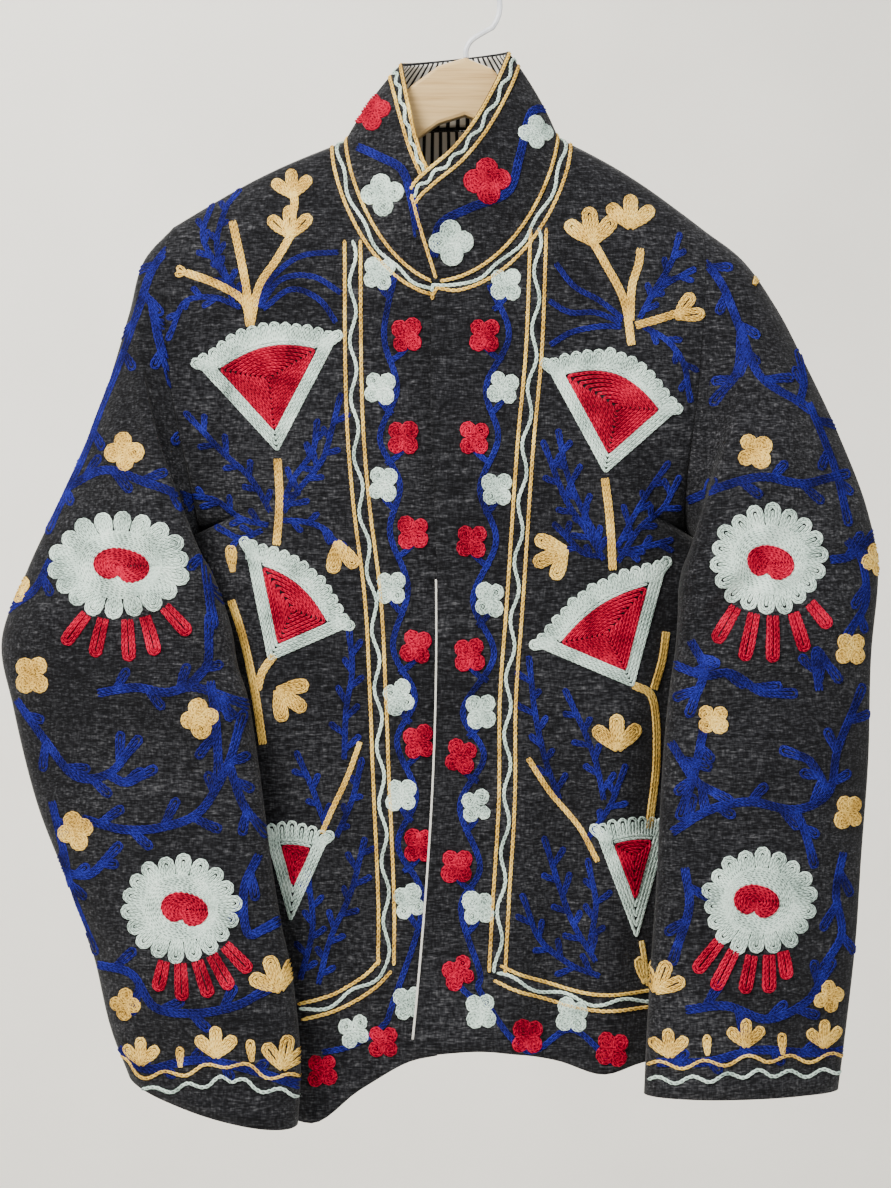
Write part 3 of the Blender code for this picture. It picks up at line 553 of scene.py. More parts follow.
def armhole_inward(side, turn, back):
    """One direction for the cut edges of panel and sleeve, so that they face each other along the seam."""
    v = turn * V_ARM
    full = turn / 2 if not back else 1 - turn / 2
    sleeve = inward(sleeve_surface(side), np.zeros_like(turn), full, sleeve_middle(side), wrap=True)
    if back:
        u = np.full_like(v, 0.0 if side == "left" else 1.0)
        panel = inward(back_surface, v, u, body_middle)
    else:
        panel = inward(front_surface(side), v, np.ones_like(v), body_middle)
    # At the underarm and the shoulder tip the normals mean little, so both come from the plane of the seam.
    joined = unit(sleeve + panel)
    corner = (turn < 1e-9) | (turn > 1 - 1e-9)
    tip_way = points(-0.35 * SIDES[side]["out"], 0, -1.0)
    underarm_way = points(-0.7 * SIDES[side]["out"], 0, 0.7)
    fixed = np.where((turn < 0.5)[..., None], tip_way, underarm_way)
    return np.where(corner[..., None], unit(fixed), joined)


def neck_inward(c):
    """One direction for the cut edges of the panels and the collar along the neck seam."""
    collar = inward(collar_surface, np.zeros_like(c), c, collar_middle)
    right = inward(front_surface("right"), V_NECK * np.clip(1 - c, 0, 1), np.zeros_like(c), body_middle)
    left = inward(front_surface("left"), V_NECK * np.clip(c - 2, 0, 1), np.zeros_like(c), body_middle)
    u = mix(1 - SHOULDER_PART, SHOULDER_PART, np.clip(c - 1, 0, 1))
    back = inward(back_surface, np.zeros_like(c), u, body_middle)
    panel = np.where((c < 1)[..., None], right, np.where((c > 2)[..., None], left, back))
    joined = unit(collar + panel)
    corner = (np.abs(c - 1) < 1e-9) | (np.abs(c - 2) < 1e-9)
    fixed = points(np.where(c < 1.5, -0.5, 0.5), 0, -0.85)
    return np.where(corner[..., None], unit(fixed), joined)


SHEET_CLOTH = 1.3
YARN_HEIGHT = 1.0
PITCH = 1.3  # between the rings of a row of stitches
STITCH = 3.9  # one chain stitch
PLAIN_PITCH = 1.95  # between the rings on the sides away from the camera
ROW = 2.3  # between rows that lie side by side

# A pixel of the photo in the plane of the front, and the pixel and the height of the foot of the hook.
PIXEL = 0.72
FOOT_X, FOOT_Z = 465.0, 57.0
FOOT_HEIGHT = -70.0

CREASE_GAIN = 1.45  # over the heights of the crease tables
HOLLOW_SHADE = 0.42  # painted shade: how far the open middle of each link and the sunken edges of each row darken the yarn
MATTE = 0.7  # rougher materials than this have little shine
MATTE_SPECULAR = 0.1

rng = np.random.default_rng(11)

FRONT_CREASES = table(
    "x z angle length width height",
    [
        (-185, -255, 68, 45, 9, 3.0), (-170, -330, 75, 60, 10, -3.0), (-100, -260, 100, 40, 12, 1.8),
        (-150, -520, 84, 70, 10, 2.6), (-60, -700, 92, 60, 9, -2.0), (-95, -770, 96, 50, 9, 2.6),
        (-128, -640, 86, 80, 10, -2.4), (-40, -500, 90, 90, 8, 1.2), (20, -520, 89, 90, 9, -1.3),
        (92, -600, 93, 70, 11, 2.2), (120, -480, 86, 60, 11, -2.4), (60, -745, 95, 40, 9, -2.0),
        (140, -330, 104, 50, 10, 3.0), (120, -235, 70, 36, 10, -2.0), (35, -770, 86, 40, 8, 1.8),
    ],
)
BACK_CREASES = table(
    "x z angle length width height",
    [
        (-160, -300, 70, 50, 11, 3.0), (-120, -420, 82, 70, 12, -2.6), (-60, -600, 92, 90, 12, 2.4),
        (10, -480, 88, 90, 12, -2.0), (70, -640, 94, 80, 12, 2.6), (120, -380, 100, 60, 12, 2.6),
        (-20, -720, 90, 60, 11, -2.4), (140, -700, 86, 60, 10, -2.2),
    ],
)
MORE_SLEEVE_FOLDS = {
    "left": [
        (0.40, 0.22, 0.20, 3.0, 0.022, 0.10), (0.52, 0.26, -0.14, -3.0, 0.016, 0.10),
        (0.60, 0.40, 0.18, 3.0, 0.018, 0.08), (0.70, 0.22, -0.05, 2.2, 0.030, 0.06),
        (0.83, 0.34, 0.08, -2.6, 0.030, 0.08), (0.88, 0.18, -0.05, 2.4, 0.030, 0.07),
        (0.22, 0.20, 0.12, -2.6, 0.030, 0.07), (0.60, 0.80, 0.10, 3.0, 0.025, 0.10),
        (0.44, 0.78, -0.10, -3.0, 0.025, 0.10), (0.97, 0.20, 0.00, -1.8, 0.050, 0.04),
        (0.97, 0.38, 0.00, 1.8, 0.050, 0.04),
    ],
    "right": [
        (0.38, 0.30, 0.20, 3.0, 0.022, 0.10), (0.49, 0.24, -0.14, -3.0, 0.018, 0.10),
        (0.57, 0.16, 0.10, 2.6, 0.022, 0.08), (0.68, 0.36, -0.05, -2.2, 0.030, 0.06),
        (0.82, 0.30, 0.08, 2.4, 0.030, 0.08), (0.24, 0.30, 0.12, -2.6, 0.030, 0.07),
        (0.60, 0.80, 0.10, 3.0, 0.025, 0.10), (0.44, 0.78, -0.10, -3.0, 0.025, 0.10),
        (0.97, 0.16, 0.00, -1.8, 0.050, 0.04), (0.97, 0.34, 0.00, 1.8, 0.050, 0.04),
    ],
}


def crease_height(creases, x, z):
    """How far the creases raise the cloth: each is a long low hill that bends a little."""
    height = np.zeros(np.broadcast(x, z).shape)
    for at_x, at_z, angle, length, width, rise in zip(*creases.values()):
        turn = math.radians(angle)
        along = (x - at_x) * math.cos(turn) + (z - at_z) * math.sin(turn)
        across = (x - at_x) * math.sin(turn) - (z - at_z) * math.cos(turn)
        across = across + 0.12 * width * np.sin(along / length * 3)
        height = height + CREASE_GAIN * rise * np.exp(-((along / length) ** 2) - (across / width) ** 2)
    return height


def creased_front(side):
    plain = front_surface(side)

    def surface(v, s):
        place = plain(v, s)
        still = smooth(0.02, 0.12, s) * smooth(0.0, 0.12, 1 - s) * smooth(0.03, 0.2, v)
        place[..., 1] -= crease_height(FRONT_CREASES, place[..., 0], place[..., 2]) * still
        return place

    return surface


def creased_back(v, u):
    place = back_surface(v, u)
    still = smooth(0.0, 0.06, u) * smooth(0.0, 0.06, 1 - u) * smooth(0.05, 0.25, v)
    place[..., 1] += crease_height(BACK_CREASES, place[..., 0], place[..., 2]) * still
    return place


def node_of(tree, kind, **settings):
    node = tree.nodes.new(kind)
    for key, value in settings.items():
        if key in node.inputs:
            node.inputs[key].default_value = value
        else:
            setattr(node, key, value)
    return node


def new_material(name, roughness, sheen=0.0):
    made = bpy.data.materials.new(name)
    made.use_nodes = True
    tree = made.node_tree
    shader = tree.nodes["Principled BSDF"]
    shader.inputs["Roughness"].default_value = roughness
    shader.inputs["Sheen Weight"].default_value = sheen
    shader.inputs["Sheen Roughness"].default_value = 0.5
    if roughness > MATTE:
        shader.inputs["Specular IOR Level"].default_value = MATTE_SPECULAR
    return made, tree, shader


def stretched_noise(tree, source, scale, detail=2.0):
    """Noise drawn out along one axis by unequal scales, in cycles a metre."""
    mapping = node_of(tree, "ShaderNodeMapping")
    mapping.inputs["Scale"].default_value = scale
    tree.links.new(source, mapping.inputs["Vector"])
    noise = node_of(tree, "ShaderNodeTexNoise")
    noise.inputs["Scale"].default_value = 1.0
    noise.inputs["Detail"].default_value = detail
    tree.links.new(mapping.outputs["Vector"], noise.inputs["Vector"])
    return noise.outputs["Fac"]


def combine(tree, operation, a, b):
    node = node_of(tree, "ShaderNodeMath", operation=operation)
    for socket, value in zip(node.inputs, (a, b)):
        if isinstance(value, (int, float)):
            socket.default_value = value
        else:
            tree.links.new(value, socket)
    return node.outputs[0]


def ramp(tree, source, stops):
    node = node_of(tree, "ShaderNodeValToRGB")
    band = node.color_ramp
    while len(band.elements) < len(stops):
        band.elements.new(0.5)
    for element, (place, colour) in zip(band.elements, stops):
        element.position = place
        element.color = (*colour, 1)
    tree.links.new(source, node.inputs["Fac"])
    return node.outputs["Color"]


def add_bump(tree, shader, height, strength, distance):
    bump = node_of(tree, "ShaderNodeBump")
    bump.inputs["Strength"].default_value = strength
    bump.inputs["Distance"].default_value = distance
    tree.links.new(height, bump.inputs["Height"])
    tree.links.new(bump.outputs["Normal"], shader.inputs["Normal"])


def slub_cloth():
    made, tree, shader = new_material("slub_cloth", 0.9, sheen=0.06)
    where = node_of(tree, "ShaderNodeTexCoord").outputs["Object"]
    weft = stretched_noise(tree, where, (200, 500, 860), 1.0)
    warp = stretched_noise(tree, where, (760, 500, 230), 1.0)
    slub = stretched_noise(tree, where, (30, 60, 420), 2.0)
    patch = stretched_noise(tree, where, (9, 9, 9), 2.0)
    weft_share, warp_share = combine(tree, "MULTIPLY", weft, 0.5), combine(tree, "MULTIPLY", warp, 0.28)
    threads = combine(tree, "ADD", weft_share, warp_share)
    threads = combine(tree, "ADD", threads, combine(tree, "MULTIPLY", slub, 0.22))
    mixed = combine(tree, "ADD", threads, combine(tree, "MULTIPLY", patch, 0.16))
    colour = ramp(
        tree,
        mixed,
        [
            (0.46, (0.0025, 0.0026, 0.0034)),
            (0.56, (0.0075, 0.0078, 0.0095)),
            (0.66, (0.023, 0.0235, 0.027)),
            (0.78, (0.075, 0.076, 0.082)),
        ],
    )
    tree.links.new(colour, shader.inputs["Base Color"])
    add_bump(tree, shader, threads, 0.8, 0.0012)
    return made


def yarn(name, dark, plain, light):
    made, tree, shader = new_material(name, 0.9)
    where = node_of(tree, "ShaderNodeTexCoord").outputs["Object"]
    fibres = stretched_noise(tree, where, (900, 900, 900), 3.0)
    drift = stretched_noise(tree, where, (60, 60, 60), 1.0)
    # Painted shade: a weight on each point of the stitches darkens the yarn in the open middle of each link
    # and along the sunken edges of each row.
    painted_shade = node_of(tree, "ShaderNodeAttribute", attribute_name="painted_shade").outputs["Fac"]
    mixed = combine(tree, "MULTIPLY", combine(tree, "ADD", fibres, drift), 0.5)
    mixed = combine(tree, "SUBTRACT", mixed, combine(tree, "MULTIPLY", painted_shade, HOLLOW_SHADE))
    # The two darkest stops are reached mostly where that painted shade is laid on.
    colour = ramp(tree, mixed, [(0.15, [k * 0.25 for k in dark]), (0.34, dark), (0.5, plain), (0.66, light)])
    tree.links.new(colour, shader.inputs["Base Color"])
    add_bump(tree, shader, fibres, 0.6, 0.0008)
    return made


def striped_lining():
    made, tree, shader = new_material("striped_lining", 0.8, sheen=0.1)
    along = node_of(tree, "ShaderNodeUVMap", uv_map="cloth").outputs["UV"]
    parts = node_of(tree, "ShaderNodeSeparateXYZ")
    tree.links.new(along, parts.inputs[0])
    phase = combine(tree, "FRACT", combine(tree, "MULTIPLY", parts.outputs["X"], 1 / STRIPE_PERIOD), 0.0)
    colour = ramp(
        tree,
        phase,
        [
            (0.0, (0.012, 0.012, 0.014)),
            (0.38, (0.014, 0.014, 0.016)),
            (0.44, (0.72, 0.71, 0.66)),
            (0.95, (0.74, 0.73, 0.68)),
        ],
    )
    tree.links.new(colour, shader.inputs["Base Color"])
    where = node_of(tree, "ShaderNodeTexCoord").outputs["Object"]
    add_bump(tree, shader, stretched_noise(tree, where, (1400, 1400, 300)), 0.3, 0.0004)
    return made


def plain_facing():
    made, tree, shader = new_material("plain_facing", 0.8, sheen=0.1)
    where = node_of(tree, "ShaderNodeTexCoord").outputs["Object"]
    weave = stretched_noise(tree, where, (1400, 1400, 300))
    colour = ramp(tree, weave, [(0.3, (0.6, 0.59, 0.54)), (0.7, (0.78, 0.77, 0.72))])
    tree.links.new(colour, shader.inputs["Base Color"])
    add_bump(tree, shader, weave, 0.3, 0.0004)
    return made


def pale_wood():
    made, tree, shader = new_material("board_wood", 0.42)
    where = node_of(tree, "ShaderNodeTexCoord").outputs["Object"]
    grain = stretched_noise(tree, where, (9, 60, 130), 4.0)
    fine = stretched_noise(tree, where, (30, 400, 900), 2.0)
    mixed = combine(tree, "MULTIPLY", combine(tree, "ADD", grain, fine), 0.5)
    tones = [(0.3, (0.46, 0.28, 0.1)), (0.5, (0.62, 0.41, 0.17)), (0.7, (0.7, 0.49, 0.22))]
    colour = ramp(tree, mixed, tones)
    tree.links.new(colour, shader.inputs["Base Color"])
    add_bump(tree, shader, fine, 0.12, 0.0003)
    return made


def white_wire():
    made, tree, shader = new_material("coated_wire", 0.3)
    where = node_of(tree, "ShaderNodeTexCoord").outputs["Object"]
    wear = stretched_noise(tree, where, (200, 200, 60), 3.0)
    colour = ramp(tree, wear, [(0.35, (0.6, 0.63, 0.68)), (0.6, (0.78, 0.8, 0.84))])
    tree.links.new(colour, shader.inputs["Base Color"])
    add_bump(tree, shader, wear, 0.1, 0.0002)
    return made


def stage_paint(name, dark, light):
    made, tree, shader = new_material(name, 0.9)
    where = node_of(tree, "ShaderNodeTexCoord").outputs["Object"]
    cloud = stretched_noise(tree, where, (3, 3, 3), 4.0)
    colour = ramp(tree, cloud, [(0.3, dark), (0.7, light)])
    tree.links.new(colour, shader.inputs["Base Color"])
    return made


def add_mesh(name, corners, faces, look):
    mesh = bpy.data.meshes.new(name)
    mesh.from_pydata((np.asarray(corners, float) * MM).tolist(), [], faces)
    mesh.materials.append(look)
    mesh.polygons.foreach_set("use_smooth", [True] * len(mesh.polygons))
    return add_object(name, mesh)


def outward(corners, faces):
    a, b, c = (corners[faces[:, k]] for k in range(3))
    return faces if (a * np.cross(b, c)).sum() > 0 else faces[:, ::-1]


def cut_of(outer, around):
    """The width, length and area in metres of a piece of cloth laid flat, from its grid."""
    grid = np.concatenate([outer, outer[:, :1]], axis=1) if around else outer
    across, down = (np.diff(grid, axis=k) for k in (1, 0))
    width, length = (np.linalg.norm(d, axis=-1).sum(k).max() * MM for k, d in ((1, across), (0, down)))
    halves = (np.cross(across[:-1], down[:, :-1]), np.cross(across[1:], down[:, 1:]))
    area = sum(np.linalg.norm(half, axis=-1).sum() / 2 for half in halves) * MM**2
    return float(width), float(length), float(area)


def wall(name, outer, into, thickness, look, around=False):
    """A closed shell: a grid of points, and the same grid moved inward."""
    cut_of(outer, around)
    rows, columns = outer.shape[:2]
    corners = np.concatenate([outer.reshape(-1, 3), (outer + into * thickness).reshape(-1, 3)])
    index = np.arange(rows * columns).reshape(rows, columns)
    if around:
        index = np.hstack([index, index[:, :1]])
    grid = np.stack([index[:-1, :-1], index[:-1, 1:], index[1:, 1:], index[1:, :-1]], -1).reshape(-1, 4)
    rims = [index[0], index[-1][::-1]]
    if not around:
        rims += [index[::-1, 0], index[:, -1]]
    below = rows * columns
    sides = [np.stack([rim[1:], rim[:-1], rim[:-1] + below, rim[1:] + below], -1) for rim in rims]
    faces = outward(corners, np.concatenate([grid, grid[:, ::-1] + below, *sides]))
    obj = add_mesh(name, corners, faces.tolist(), look)
    return obj, BVHTree.FromPolygons(outer.reshape(-1, 3).tolist(), grid.tolist())


def across_seam(edge, into, toward, wrap):
    """The direction square to a seam and to its cut edge, on the side of the next piece."""
    if wrap:
        along = np.roll(edge, -1, 0) - np.roll(edge, 1, 0)
    else:
        along = np.gradient(edge, axis=0)
    square = unit(np.cross(along, into))
    return square * np.sign((square * toward).sum(-1, keepdims=True))


FINE = 4  # grid lines here for each one in the solids
SLEEVE_ROWS, COLLAR_ROWS, LINING_ROWS, NECK_LINING_ROWS = 120, 24, 20, 30
COLLAR_COLUMNS, LINING_COLUMNS, NECK_LINING_COLUMNS, FACING_ROWS = 240, 230, 60, 120
EDGE_CROWDING, CUFF_CROWDING = 1.5, 1.15  # above 1, grid lines crowd to the side seam or to the armhole

# The side seams swell a little more under the arms than in the solids, so that no light shows there.
UNDERARM_SWELL = 6.0
SIDE_SEAM["left"]["x"][1:4] -= UNDERARM_SWELL
SIDE_SEAM["left"]["x"][1] -= 3.0
SIDE_SEAM["left"]["z"][1] += 4.0
SIDE_SEAM["right"]["x"][1:4] += UNDERARM_SWELL


def make_front(side, look):
    v = np.linspace(0, 1, BODY_ROWS * FINE + 1)
    s = 1 - (1 - np.linspace(0, 1, FRONT_COLUMNS * FINE + 1)) ** EDGE_CROWDING
    v, s = np.meshgrid(v, s, indexing="ij")
    surface = creased_front(side)
    into = inward(surface, v, s, body_middle)
    into[:, -1] = flat_seam(into[:, -1])
    into[0] = flat_seam(into[0])
    arm, neck = ARMHOLE_ROWS * FINE + 1, NECK_ROWS * FINE + 1
    into[:arm, -1] = armhole_inward(side, v[:arm, 0] / V_ARM, False)
    down = v[:neck, 0] / V_NECK
    into[:neck, 0] = neck_inward(1 - down if side == "right" else 2 + down)
    return wall("front_cloth_" + side, surface(v, s), into, SHEET_CLOTH, look)


def make_back(look):
    v = np.linspace(0, 1, BODY_ROWS * FINE + 1)
    u = np.linspace(0, 1, (2 * SHOULDER_COLUMNS + BACK_NECK_COLUMNS) * FINE + 1)
    v, u = np.meshgrid(v, u, indexing="ij")
    into = inward(creased_back, v, u, body_middle)
    for column in (0, -1):
        into[:, column] = flat_seam(into[:, column])
    shoulder = SHOULDER_COLUMNS * FINE + 1
    for columns in (slice(0, shoulder), slice(-shoulder, None)):
        into[0, columns] = flat_seam(into[0, columns])
    arm = ARMHOLE_ROWS * FINE + 1
    into[:arm, 0] = armhole_inward("left", v[:arm, 0] / V_ARM, True)
    into[:arm, -1] = armhole_inward("right", v[:arm, 0] / V_ARM, True)
    neck = np.linspace(2, 1, BACK_NECK_COLUMNS * FINE + 1)
    into[0, shoulder - 1 : shoulder + BACK_NECK_COLUMNS * FINE] = neck_inward(neck)
    return wall("back_cloth", creased_back(v, u), into, SHEET_CLOTH, look)


def make_sleeve(side, look):
    folds = SLEEVE_FOLDS[side]
    more = np.array(MORE_SLEEVE_FOLDS[side], float).T
    SLEEVE_FOLDS[side] = {key: np.concatenate([folds[key], more[k]]) for k, key in enumerate(folds)}
    v = np.linspace(0, 1, SLEEVE_ROWS + 1) ** CUFF_CROWDING
    around = 2 * ARMHOLE_ROWS * FINE
    turn = np.arange(around) / around
    v, turn = np.meshgrid(v, turn, indexing="ij")
    surface = sleeve_surface(side)
    outer = surface(v, turn)
    into = inward(surface, v, turn, sleeve_middle(side), wrap=True)
    count = ARMHOLE_ROWS * FINE + 1
    front = armhole_inward(side, np.linspace(0, 1, count), False)
    back = armhole_inward(side, np.linspace(1, 0, count), True)
    into[0] = np.concatenate([front, back[1:-1]])
    outer[0] = outer[0] + GAP * across_seam(outer[0], into[0], outer[3] - outer[0], True)
    return wall("sleeve_cloth_" + side, outer, into, SHEET_CLOTH, look, around=True)


def collar_grid(rows, low, high, c):
    h, c = np.meshgrid(np.linspace(low, high, rows + 1), c, indexing="ij")
    return collar_surface(h, c), inward(collar_surface, h, c, collar_middle)


def make_collar(look):
    c = np.linspace(0, 3, COLLAR_COLUMNS + 1)
    outer, into = collar_grid(COLLAR_ROWS, 0, 1, c)
    into[0] = neck_inward(c)
    outer[0] = outer[0] + GAP * across_seam(outer[0], into[0], outer[1] - outer[0], False)
    return wall("collar_cloth", outer, into, SHEET_CLOTH, look)


STRIPE_PERIOD = 0.0062


def make_lining(look):
    c = np.linspace(0.06, 2.94, LINING_COLUMNS + 1)
    outer, into = collar_grid(LINING_ROWS, *LINING_SPAN, c)
    obj, _ = wall("collar_stripes", outer + into * (CLOTH + GAP), into, LINING, look)
    stripe_map(obj, outer)
    return obj


def make_neck_lining(look):
    first, last = SHOULDER_COLUMNS + 3, SHOULDER_COLUMNS + BACK_NECK_COLUMNS - 3
    u = np.linspace(first, last, NECK_LINING_COLUMNS + 1) / (2 * SHOULDER_COLUMNS + BACK_NECK_COLUMNS)
    rows = np.linspace(NECK_LINING["row"][0], NECK_LINING["row"][-1], NECK_LINING_ROWS + 1)
    v, u = np.meshgrid(rows / BODY_ROWS, u, indexing="ij")
    into = inward(back_surface, v, u, body_middle)
    off = CLOTH + np.interp(rows, NECK_LINING["row"], NECK_LINING["ease"])[:, None, None]
    outer = back_surface(v, u) + into * off
    obj, _ = wall("neck_stripes", outer, into, LINING, look)
    stripe_map(obj, outer)
    return obj


def stripe_map(obj, outer):
    """Texture places across the stripes, worked out along the middle row of a strip."""
    middle = outer[len(outer) // 2]
    run = np.concatenate([[0], np.cumsum(np.linalg.norm(np.diff(middle, axis=0), axis=-1))]) * MM
    rows, columns = outer.shape[:2]
    at_x = np.tile(run, rows * 2)
    at_y = np.tile(np.repeat(np.linspace(0, 0.07, rows), columns), 2)
    layer = obj.data.uv_layers.new(name="cloth")
    loops = np.array([loop.vertex_index for loop in obj.data.loops])
    layer.data.foreach_set("uv", np.stack([at_x[loops], at_y[loops]], -1).ravel())


def make_facing(look):
    surface = creased_front("right")
    rows, columns = np.linspace(*FACING_SPAN, FACING_ROWS + 1), np.array(FACING_COLUMNS) / FACING_PANEL
    v, s = np.meshgrid(rows, columns, indexing="ij")
    into = inward(surface, v, np.clip(s, 0, 1), body_middle)
    obj, _ = wall("facing_cloth", surface(v, s) + into * (CLOTH + GAP), into, FACING_THICK, look)
    return obj


LIFT = {"blue": 0.0, "tan": 0.4, "mint": 0.4, "red": 1.1}  # where yarns cross, each lies on those before it
FAR = 500.0
EDGE_ON = 0.1  # cloth that turns this far away takes no stitches


class Ground:
    """A piece of cloth that stitches are laid on, seen from the front (way 1) or from the back (way -1)."""

    def __init__(self, region, tree, way=1, limit=1000.0):
        self.region, self.tree, self.way, self.limit = region, tree, way, limit

    def land(self, path):
        """The place and the outward direction of the cloth at each x and z, or None where there is none."""
        found = []
        for x, z in path:
            place, square, _, _ = self.tree.ray_cast((x, -FAR * self.way, z), (0.0, float(self.way), 0.0))
            if place is None or abs(square[1]) < EDGE_ON or place[1] > self.limit:
                found.append(None)
                continue
            sign = -1.0 if square[1] * self.way > 0 else 1.0
            found.append((tuple(place), tuple(sign * k for k in square)))
        return found


sewn = {}


def stitch(colour, region, place, square, width=1.2):
    """One row of chain stitches over points of the cloth: each link is open in its middle."""
    if len(place) < 4:
        return
    plain = region.endswith("rear") or region == "back"
    pitch = PLAIN_PITCH if plain else PITCH
    if plain:
        kept = np.linspace(0, len(place) - 1, max(4, int(len(place) * PITCH / pitch)))
        kept = np.round(kept).astype(int)
        place, square = place[kept], square[kept]
    square = unit(square)
    along = unit(np.gradient(place, axis=0))
    across = unit(np.cross(along, square))
    phase = (np.arange(len(place)) * pitch / STITCH + rng.random()) % 1.0
    swell = np.sin(np.pi * phase)
    wide = width * (0.7 + 0.38 * swell)
    wide[[0, -1]] *= 0.5
    tall = YARN_HEIGHT * (0.8 + 0.2 * swell + rng.normal(0, 0.04, len(place))) + LIFT[colour]
    low, none = np.full(len(place), -0.5), np.zeros(len(place))
    # Painted shade: each ring point's weight for darkening the yarn, full in the open middle of a link and
    # 0.6 on the sunken edges of the row.
    if plain:
        flat = [-wide, -0.42 * wide, 0.42 * wide, wide]
        rise = [low, 0.95 * tall, 0.95 * tall, low]
        painted_shade = [none + 0.6, 0.5 * swell, 0.5 * swell, none + 0.6]
    else:
        flat = [-wide, -0.58 * wide, none, 0.58 * wide, wide]
        dip = LIFT[colour] + 0.8 * YARN_HEIGHT * (1 - swell)
        rise = [low, 0.9 * tall, dip, 0.9 * tall, low]
        painted_shade = [none + 0.6, none, swell**2, none, none + 0.6]
    flat, rise, painted_shade = (np.stack(values, -1) for values in (flat, rise, painted_shade))
    place = place + across * rng.normal(0, 0.07, len(place))[:, None]
    ring = place[:, None] + across[:, None] * flat[..., None] + square[:, None] * rise[..., None]
    sewn.setdefault((colour, region), []).append((ring, painted_shade))


def sew(colour, ground, path, width=1.2):
    """A row of chain stitches along a path of x and z, laid on the cloth and cut where there is none."""
    runs, run = [], []
    for hit in ground.land(path):
        if hit is None or (run and np.linalg.norm(np.subtract(hit[0], run[-1][0])) > 4 * PITCH):
            runs.append(run)
            run = []
        if hit is not None:
            run.append(hit)
    runs.append(run)
    for run in runs:
        if len(run) >= 4:
            places, squares = (np.array([hit[k] for hit in run]) for k in (0, 1))
            stitch(colour, ground.region, places, squares, width)


def sew_surface(colour, region, surface, p, q, centre, width=1.5):
    """A row of stitches along places of a surface, given by its own two parameters."""
    p, q = np.broadcast_arrays(np.asarray(p, float), np.asarray(q, float))
    place = surface(p[None], q[None])[0]
    square = -inward(surface, p[None], q[None], centre)[0]
    run = np.concatenate([[0], np.cumsum(np.linalg.norm(np.diff(place, axis=0), axis=-1))])
    wanted = np.linspace(0, run[-1], int(run[-1] / PITCH) + 1)
    place, square = (
        np.stack([np.interp(wanted, run, rows[:, k]) for k in range(3)], -1) for rows in (place, square)
    )
    stitch(colour, region, place, square, width)


def finish_stitches(looks):
    """One object for the rows of each colour on each piece of cloth."""
    made = []
    for (colour, region), rings in sorted(sewn.items()):
        corners = np.concatenate([ring.reshape(-1, 3) for ring, _ in rings])
        painted_shades = np.concatenate([painted_shade.ravel() for _, painted_shade in rings])
        faces, start = [], 0
        for ring, _ in rings:
            index = start + np.arange(ring.shape[0] * ring.shape[1]).reshape(ring.shape[:2])
            quads = np.stack([index[:-1, :-1], index[:-1, 1:], index[1:, 1:], index[1:, :-1]], -1)
            faces.append(quads.reshape(-1, 4))
            start += index.size
        faces = np.concatenate(faces)
        obj = add_mesh(f"{colour}_stitches_{region}", corners, faces.tolist(), looks[colour])
        # The weight of painted shade on each point, read by the yarn material.
        obj.data.attributes.new("painted_shade", "FLOAT", "POINT").data.foreach_set("value", painted_shades)
        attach(obj, "root")
        made.append(obj)
    return made


def at(places):
    """Places read off the photo, as x and z."""
    places = np.array(places, float).reshape(-1, 2)
    return np.stack([(places[:, 0] - FOOT_X) * PIXEL, FOOT_HEIGHT - (places[:, 1] - FOOT_Z) * PIXEL], -1)


def even(path, pitch=None):
    steps = np.linalg.norm(np.diff(path, axis=0), axis=-1)
    run = np.concatenate([[0], np.cumsum(steps)])
    if run[-1] < 1e-6:
        return path[:1]
    wanted = np.linspace(0, run[-1], max(4, int(round(run[-1] / (pitch or PITCH))) + 1))
    return np.stack([np.interp(wanted, run, path[:, k]) for k in (0, 1)], -1)


def curve(places):
    """A smooth path through a few places."""
    p = np.asarray(places, float)
    if len(p) > 2:
        ends = np.vstack([2 * p[0] - p[1], p, 2 * p[-1] - p[-2]])
        t = np.linspace(0, 1, 16, endpoint=False)[:, None]
        spans = []
        for a, b, c, d in zip(ends, ends[1:], ends[2:], ends[3:]):
            spans.append(
                0.5
                * (2 * b + (c - a) * t + (2 * a - 5 * b + 4 * c - d) * t**2 + (3 * b - a - 3 * c + d) * t**3)
            )
        p = np.vstack([*spans, p[-1:]])
    return even(p)


def beside(path, offset):
    along = np.gradient(path, axis=0)
    along /= np.linalg.norm(along, axis=-1, keepdims=True) + 1e-9
    return path + np.stack([-along[:, 1], along[:, 0]], -1) * np.asarray(offset)[..., None]


def band(colour, ground, places, rows=2, spacing=ROW, width=1.25):
    """Rows of stitches side by side along a path."""
    path = curve(places)
    for k in range(rows):
        sew(colour, ground, even(beside(path, (k - (rows - 1) / 2) * spacing)), width)


def petal(colour, ground, root, tip, wide, narrow=0.55, bend=0.0):
    """A leaf, petal or finger: rows nested round its tip, one inside the other."""
    root, tip = np.asarray(root, float), np.asarray(tip, float)
    way = tip - root
    length = np.linalg.norm(way)
    if length < 3:
        return
    way /= length
    side = np.array([-way[1], way[0]])
    straight = max(length - wide / 2, 0.3 * length)
    t = np.linspace(0, 1, 12)
    reach = wide / 2 - ROW / 2
    sag = side * (bend * length * np.sin(np.pi * t / 2) ** 2)[:, None]
    while reach > 0.3 * ROW:
        grow = reach * (narrow + (1 - narrow) * smooth(0, 0.8, t))
        spine = root + way * (t * straight)[:, None] + sag
        left, right = (spine + side * (k * grow)[:, None] for k in (1, -1))
        angle = np.linspace(0, np.pi, 9)[1:-1]
        turn = np.cos(angle)[:, None] * side + np.sin(angle)[:, None] * way
        path = np.vstack([left, root + way * straight + sag[-1] + reach * turn, right[::-1]])
        sew(colour, ground, even(path), 1.3)
        reach -= ROW
    if reach > -0.3 * ROW:
        sew(colour, ground, even(root + way * (t * straight)[:, None] + sag), 1.2)


